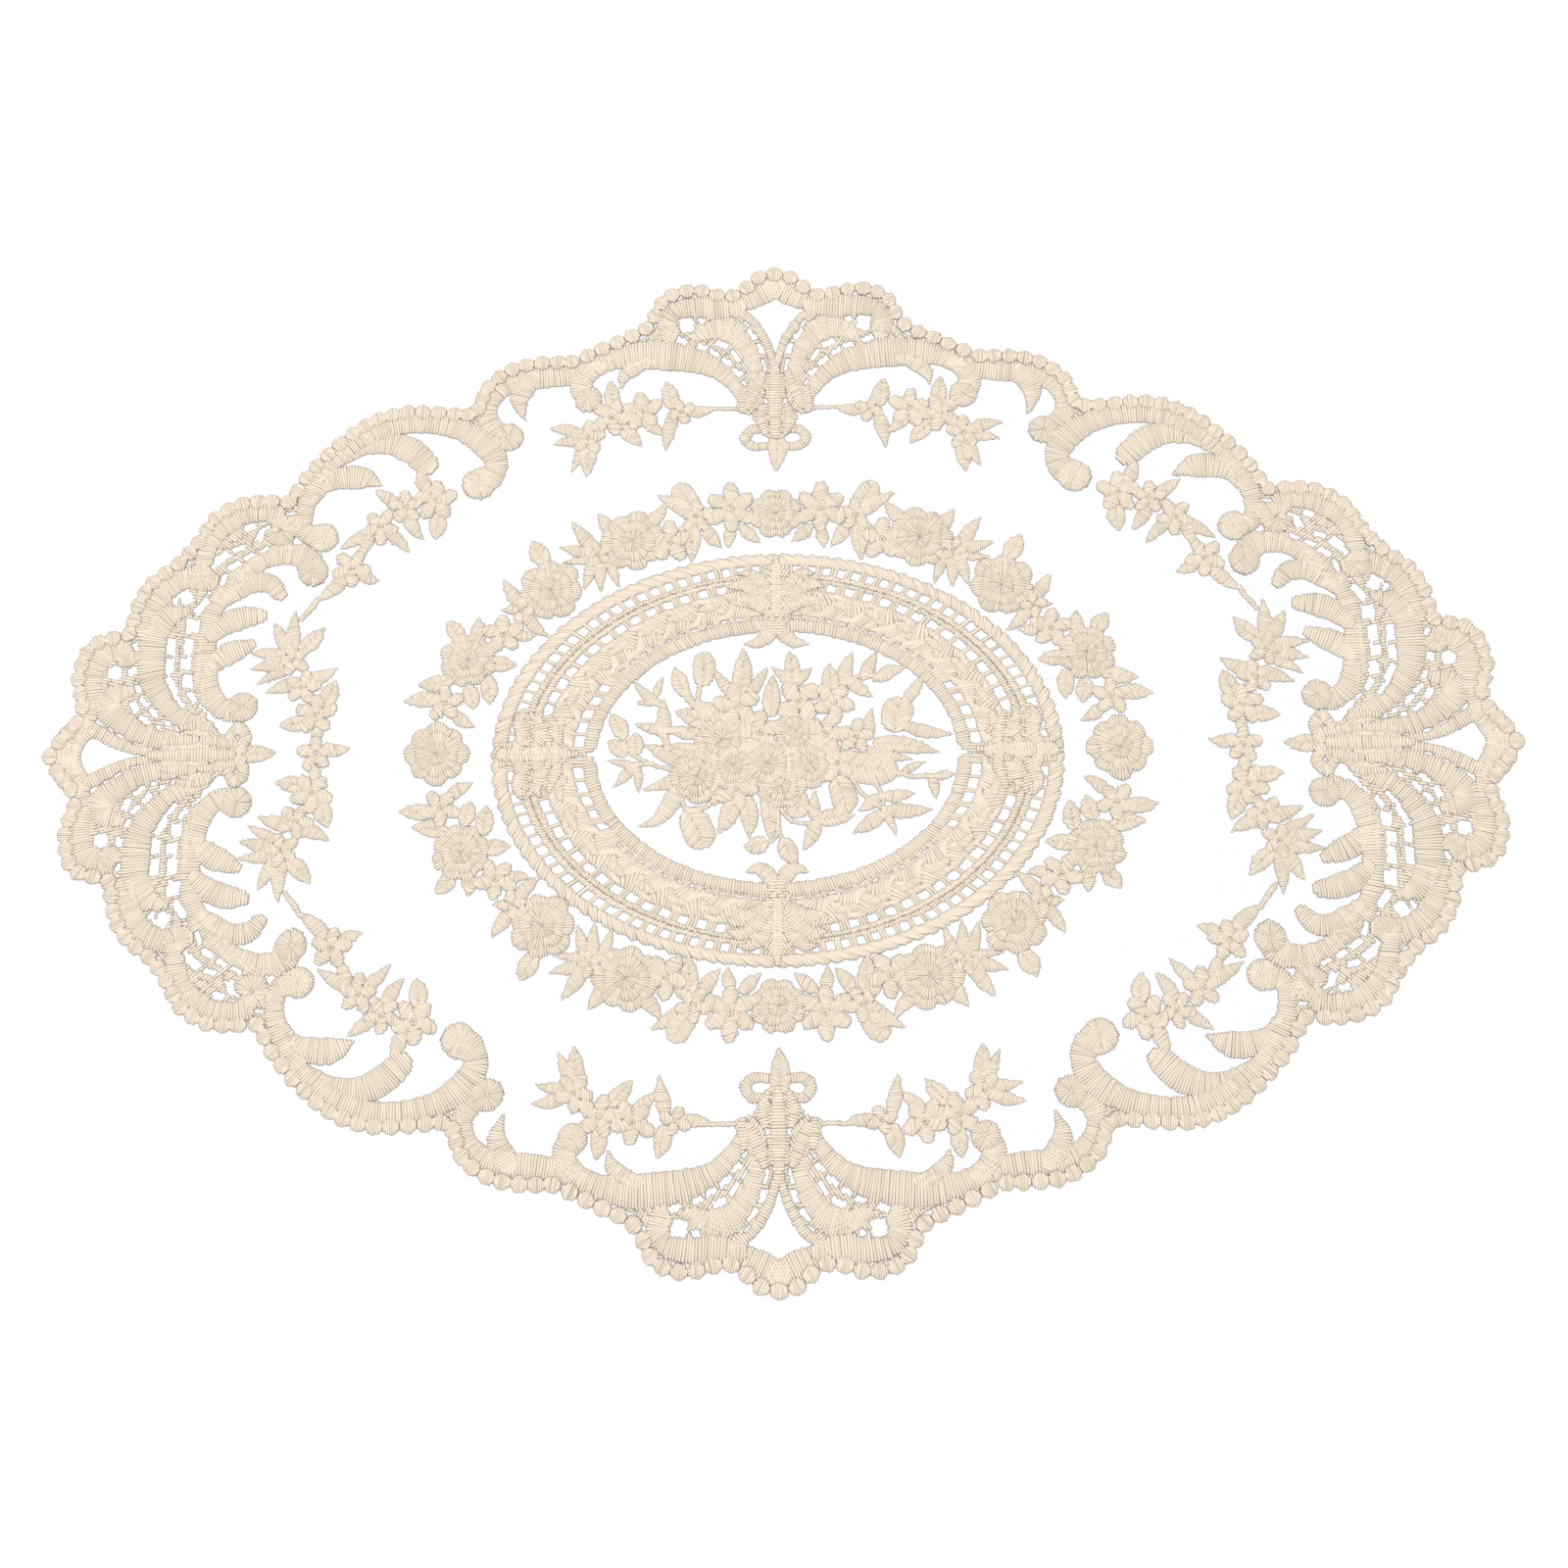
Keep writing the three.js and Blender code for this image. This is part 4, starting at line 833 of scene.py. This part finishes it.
# Materials
def linear(hex_colour):
    """A colour written as sRGB hex, as the linear colour that a shader takes."""
    parts = [int(hex_colour[k:k + 2], 16) / 255 for k in (1, 3, 5)]
    return [c / 12.92 if c <= 0.04045 else ((c + 0.055) / 1.055) ** 2.4 for c in parts] + [1.0]


def add(material, kind, settings=(), links=()):
    """Add a node with its settings, and link its inputs: (input, node, output)."""
    node = material.node_tree.nodes.new("ShaderNode" + kind)
    for name, value in dict(settings).items():
        if isinstance(name, int) or name in node.inputs:
            node.inputs[name].default_value = value
        else:
            setattr(node, name, value)
    for name, source, output in links:
        material.node_tree.links.new(source.outputs[output], node.inputs[name])
    return node


def new_material(name, settings):
    """A new material, its shader with these settings, and its links."""
    material = bpy.data.materials.new(name)
    material.use_nodes = True
    shader = material.node_tree.nodes["Principled BSDF"]
    for key, value in settings.items():
        shader.inputs[key].default_value = value
    return material, shader, material.node_tree.links


def rayon_thread():
    """Twisted rayon embroidery thread, dyed beige: soft gloss along each stitch, and painted shade that
    darkens it between the stitches and at their ends.
    """
    satin_look = {"Roughness": 0.55, "Specular IOR Level": 0.3, "Sheen Weight": 0.1}
    material, shader, links = new_material("rayon_embroidery_thread", satin_look)
    place = add(material, "UVMap", {"uv_map": "along_thread"})
    # Filaments are 0.02 mm thick; they are drawn 0.18 mm apart, the finest that shows.
    stretch = add(material, "Mapping", {"Scale": (5.5, 0.5, 1)}, [("Vector", place, "UV")])
    filaments = add(material, "TexNoise", {"Scale": 1.0, "Detail": 2.0, "Roughness": 0.6},
                    [("Vector", stretch, "Vector")])
    tone_and_painted_shade = add(material, "Attribute", {"attribute_name": "tone_and_painted_shade"})
    spot = add(material, "TexCoord")
    # The dye takes unevenly over patches about 20 mm wide.
    dye = add(material, "TexNoise", {"Scale": 50.0, "Detail": 3.0}, [("Vector", spot, "Object")])
    mix = add(material, "Math", {"operation": "MULTIPLY_ADD", 1: 0.4},
              [(0, filaments, "Fac"), (2, tone_and_painted_shade, "Fac")])
    mottle = add(material, "Math", {"operation": "MULTIPLY_ADD", 1: 0.25},
                 [(0, dye, "Fac"), (2, mix, "Value")])
    level = add(material, "MapRange", {"From Min": 0.45, "From Max": 1.2},
                [("Value", mottle, "Value")])
    # The mix runs towards its darker colour on darker stitches, and where painted shade is laid along the
    # stitches' sides and at their ends.
    colour = add(material, "Mix", {"data_type": "RGBA", 6: linear("#cbbca7"), 7: linear("#e9dcca")},
                 [("Factor", level, "Result")])
    links.new(colour.outputs[2], shader.inputs["Base Color"])
    bump = add(material, "Bump", {"Strength": 0.3, "Distance": 0.05 * MM},
               [("Height", filaments, "Fac")])
    links.new(bump.outputs["Normal"], shader.inputs["Normal"])
    return material


def organza():
    """Sheer polyester organza: a plain weave of fine bright yarns with air between them."""
    sheer_look = {"Base Color": linear("#f4f6fb"), "Roughness": 0.45, "Sheen Weight": 0.2}
    material, shader, links = new_material("woven_polyester_organza", sheer_look)
    spot = add(material, "TexCoord")
    # Organza yarns are 0.2 mm apart. A wave texture repeats every 0.314 / Scale metres, so these
    # are drawn 3.1 mm apart.
    yarns = [add(material, "TexWave", {"bands_direction": way, "Scale": 100, "Distortion": 0.4},
                 [("Vector", spot, "Object")]) for way in "XY"]
    cover = add(material, "Math", {"operation": "MAXIMUM"},
                [(0, yarns[0], "Fac"), (1, yarns[1], "Fac")])
    cloudy = {"From Min": 0.3, "From Max": 1.0, "To Min": 0.2, "To Max": 0.34}
    veil = add(material, "MapRange", cloudy, [("Value", cover, "Value")])
    links.new(veil.outputs["Result"], shader.inputs["Alpha"])
    bump = add(material, "Bump", {"Strength": 0.15, "Distance": 0.05 * MM},
               [("Height", cover, "Value")])
    links.new(bump.outputs["Normal"], shader.inputs["Normal"])
    return material


def matt_floor():
    """A matt white studio board, with the faintest cloudiness."""
    matt_look = {"Roughness": 0.9, "Specular IOR Level": 0.1}
    material, shader, links = new_material("matt_white_board", matt_look)
    spot = add(material, "TexCoord")
    grain = add(material, "TexNoise", {"Scale": 3.0}, [("Vector", spot, "Object")])
    tint = add(material, "Mix", {"data_type": "RGBA", 6: linear("#fbfbfb"), 7: linear("#fdfdfd")},
               [("Factor", grain, "Fac")])
    links.new(tint.outputs[2], shader.inputs["Base Color"])
    return material


# The ground cloth
def ground_sheet():
    """The sheer cloth under the stitches: the edge's outline with the four tip openings."""
    quarter = inside_path(CLOTH_INSET)
    upper = np.vstack([quarter[::-1][:-1], quarter * [-1, 1]])
    loops = [np.vstack([upper, upper[::-1][1:-1] * [1, -1]])]
    for sign in (1, -1):
        half = np.array(LONG_OPENING, float) * [sign, 1]
        loops.append(np.vstack([half, half[::-1][1:-1] * [1, -1]]))
        half = np.array(SHORT_OPENING, float) * [1, sign]
        loops.append(np.vstack([half, half[::-1][1:-1] * [-1, 1]]))
    sheet = bmesh.new()
    for loop in loops:
        verts = [sheet.verts.new((x * MM, y * MM, CLOTH_FACE * MM)) for x, y in loop]
        for a, b in zip(verts, verts[1:] + verts[:1]):
            sheet.edges.new((a, b))
    bmesh.ops.triangle_fill(sheet, use_beauty=True, edges=sheet.edges[:])
    bmesh.ops.recalc_face_normals(sheet, faces=sheet.faces[:])
    bmesh.ops.solidify(sheet, geom=sheet.faces[:], thickness=CLOTH_THICK * MM)
    bmesh.ops.recalc_face_normals(sheet, faces=sheet.faces[:])
    mesh = bpy.data.meshes.new("ground_cloth")
    sheet.to_mesh(mesh)
    sheet.free()
    return shown("ground_cloth", mesh, organza())


# Camera, floor and light
# The camera stands nearly over the mat and looks down on it, a little tilted. Metres and degrees.
CAMERA_PLACE = (0.0132, -0.1324, 0.5174)
CAMERA_TILT = 13.2
CAMERA_ROLL = 1.3
CAMERA_TURN = -0.3
CAMERA_LENS = 40.6  # mm, on a sensor 36 mm wide
FLOOR_Z = -0.03  # mm
# Columns: name, place and size in metres, power in watts.
LIGHTS = [("key", (-0.6, 0.7, 1.4), 1.4, 8), ("overhead", (0.1, -0.1, 1.6), 1.8, 10)]
DAYLIGHT = 0.75

lens = bpy.data.cameras.new("photo_view")
lens.sensor_width = 36
lens.lens = CAMERA_LENS
lens.clip_start = 0.01
camera = bpy.data.objects.new("photo_view", lens)
camera.location = CAMERA_PLACE
camera.rotation_euler = [math.radians(angle) for angle in (CAMERA_TILT, CAMERA_ROLL, CAMERA_TURN)]
bpy.context.scene.collection.objects.link(camera)
bpy.context.scene.camera = camera
bpy.context.view_layer.update()

board = bmesh.new()
below = Matrix.Translation((0, 0, FLOOR_Z * MM))
bmesh.ops.create_grid(board, x_segments=2, y_segments=2, size=3.0, matrix=below)
board_mesh = bpy.data.meshes.new("floor")
board.to_mesh(board_mesh)
board.free()
floor = bpy.data.objects.new("floor", board_mesh)
board_mesh.materials.append(matt_floor())
bpy.context.scene.collection.objects.link(floor)

for label, place, size, power in LIGHTS:
    light = bpy.data.lights.new(label, "AREA")
    light.size = size
    light.energy = power
    holder = bpy.data.objects.new(label, light)
    holder.location = place
    holder.rotation_euler = holder.location.to_track_quat("Z", "Y").to_euler()
    bpy.context.scene.collection.objects.link(holder)

world = bpy.data.worlds.new("studio")
world.use_nodes = True
world.node_tree.nodes["Background"].inputs["Color"].default_value = (1, 1, 1, 1)
world.node_tree.nodes["Background"].inputs["Strength"].default_value = DAYLIGHT
bpy.context.scene.world = world
bpy.context.scene.view_settings.view_transform = "Standard"

# Stitched pieces, each of thousands of threads
thread = rayon_thread()

outward = picot_line()[:, 2]
edge = [picot(x, y, way) for (x, y), way in zip(inside_path(PICOT_INSET), outward)]
cord = np.column_stack([inside_path(EDGE_CORD_INSET), np.full(len(outward), EDGE_CORD_WIDE)])
edge.append(satin(cord, EDGE_CORD_PITCH, math.radians(30), start=False, end=False))
edge_picots = lay_threads("edge_picots", mirrored(np.vstack(edge)), thread)

scrolls = [satin(row, layer=0.6 + 0.5 * (k % 3)) for k, row in enumerate(SCROLLS)]
scrolls += [petal(x, y, 0, math.pi, 0.5, radius, notch=0, layer=2, groove=0.9) for x, y, radius in CURLS]
border_scrolls = lay_threads("border_scrolls", mirrored(pierced(np.vstack(scrolls), CELLS)), thread)

fans = [patch(row[1:], row[0]) for row in NETS]
fans += [patch(row[1:], row[0], longest=3.4, layer=1.6) for row in FAN_PATCHES]
fans += [satin(row, layer=2.8) for row in FAN_LEAVES]
border_fans = lay_threads("border_fans", mirrored(pierced(np.vstack(fans), CELLS)), thread)

garlands = lay_threads("garlands", motifs(BORDER_LEAVES, BORDER_FLOWERS), thread)
wreath_rows = moved(motifs(WREATH_LEAVES, WREATH_FLOWERS, WREATH_Y), WREATH_DROP)
wreath = lay_threads("wreath", wreath_rows, thread)

bouquet_rows = [motifs(BOUQUET_LEAVES, BOUQUET_FLOWERS, whole=True)]
for stem in BOUQUET_STEMS:
    slant = math.radians(25) if stem[0][2] < STEM_WIDE else 0
    bouquet_rows.append(satin(stem, FINE, slant, groove=0.6))
bouquet = lay_threads("bouquet", np.vstack(bouquet_rows), thread)

medallion = lay_threads("medallion", medallion_rows(), thread)

ground = ground_sheet()
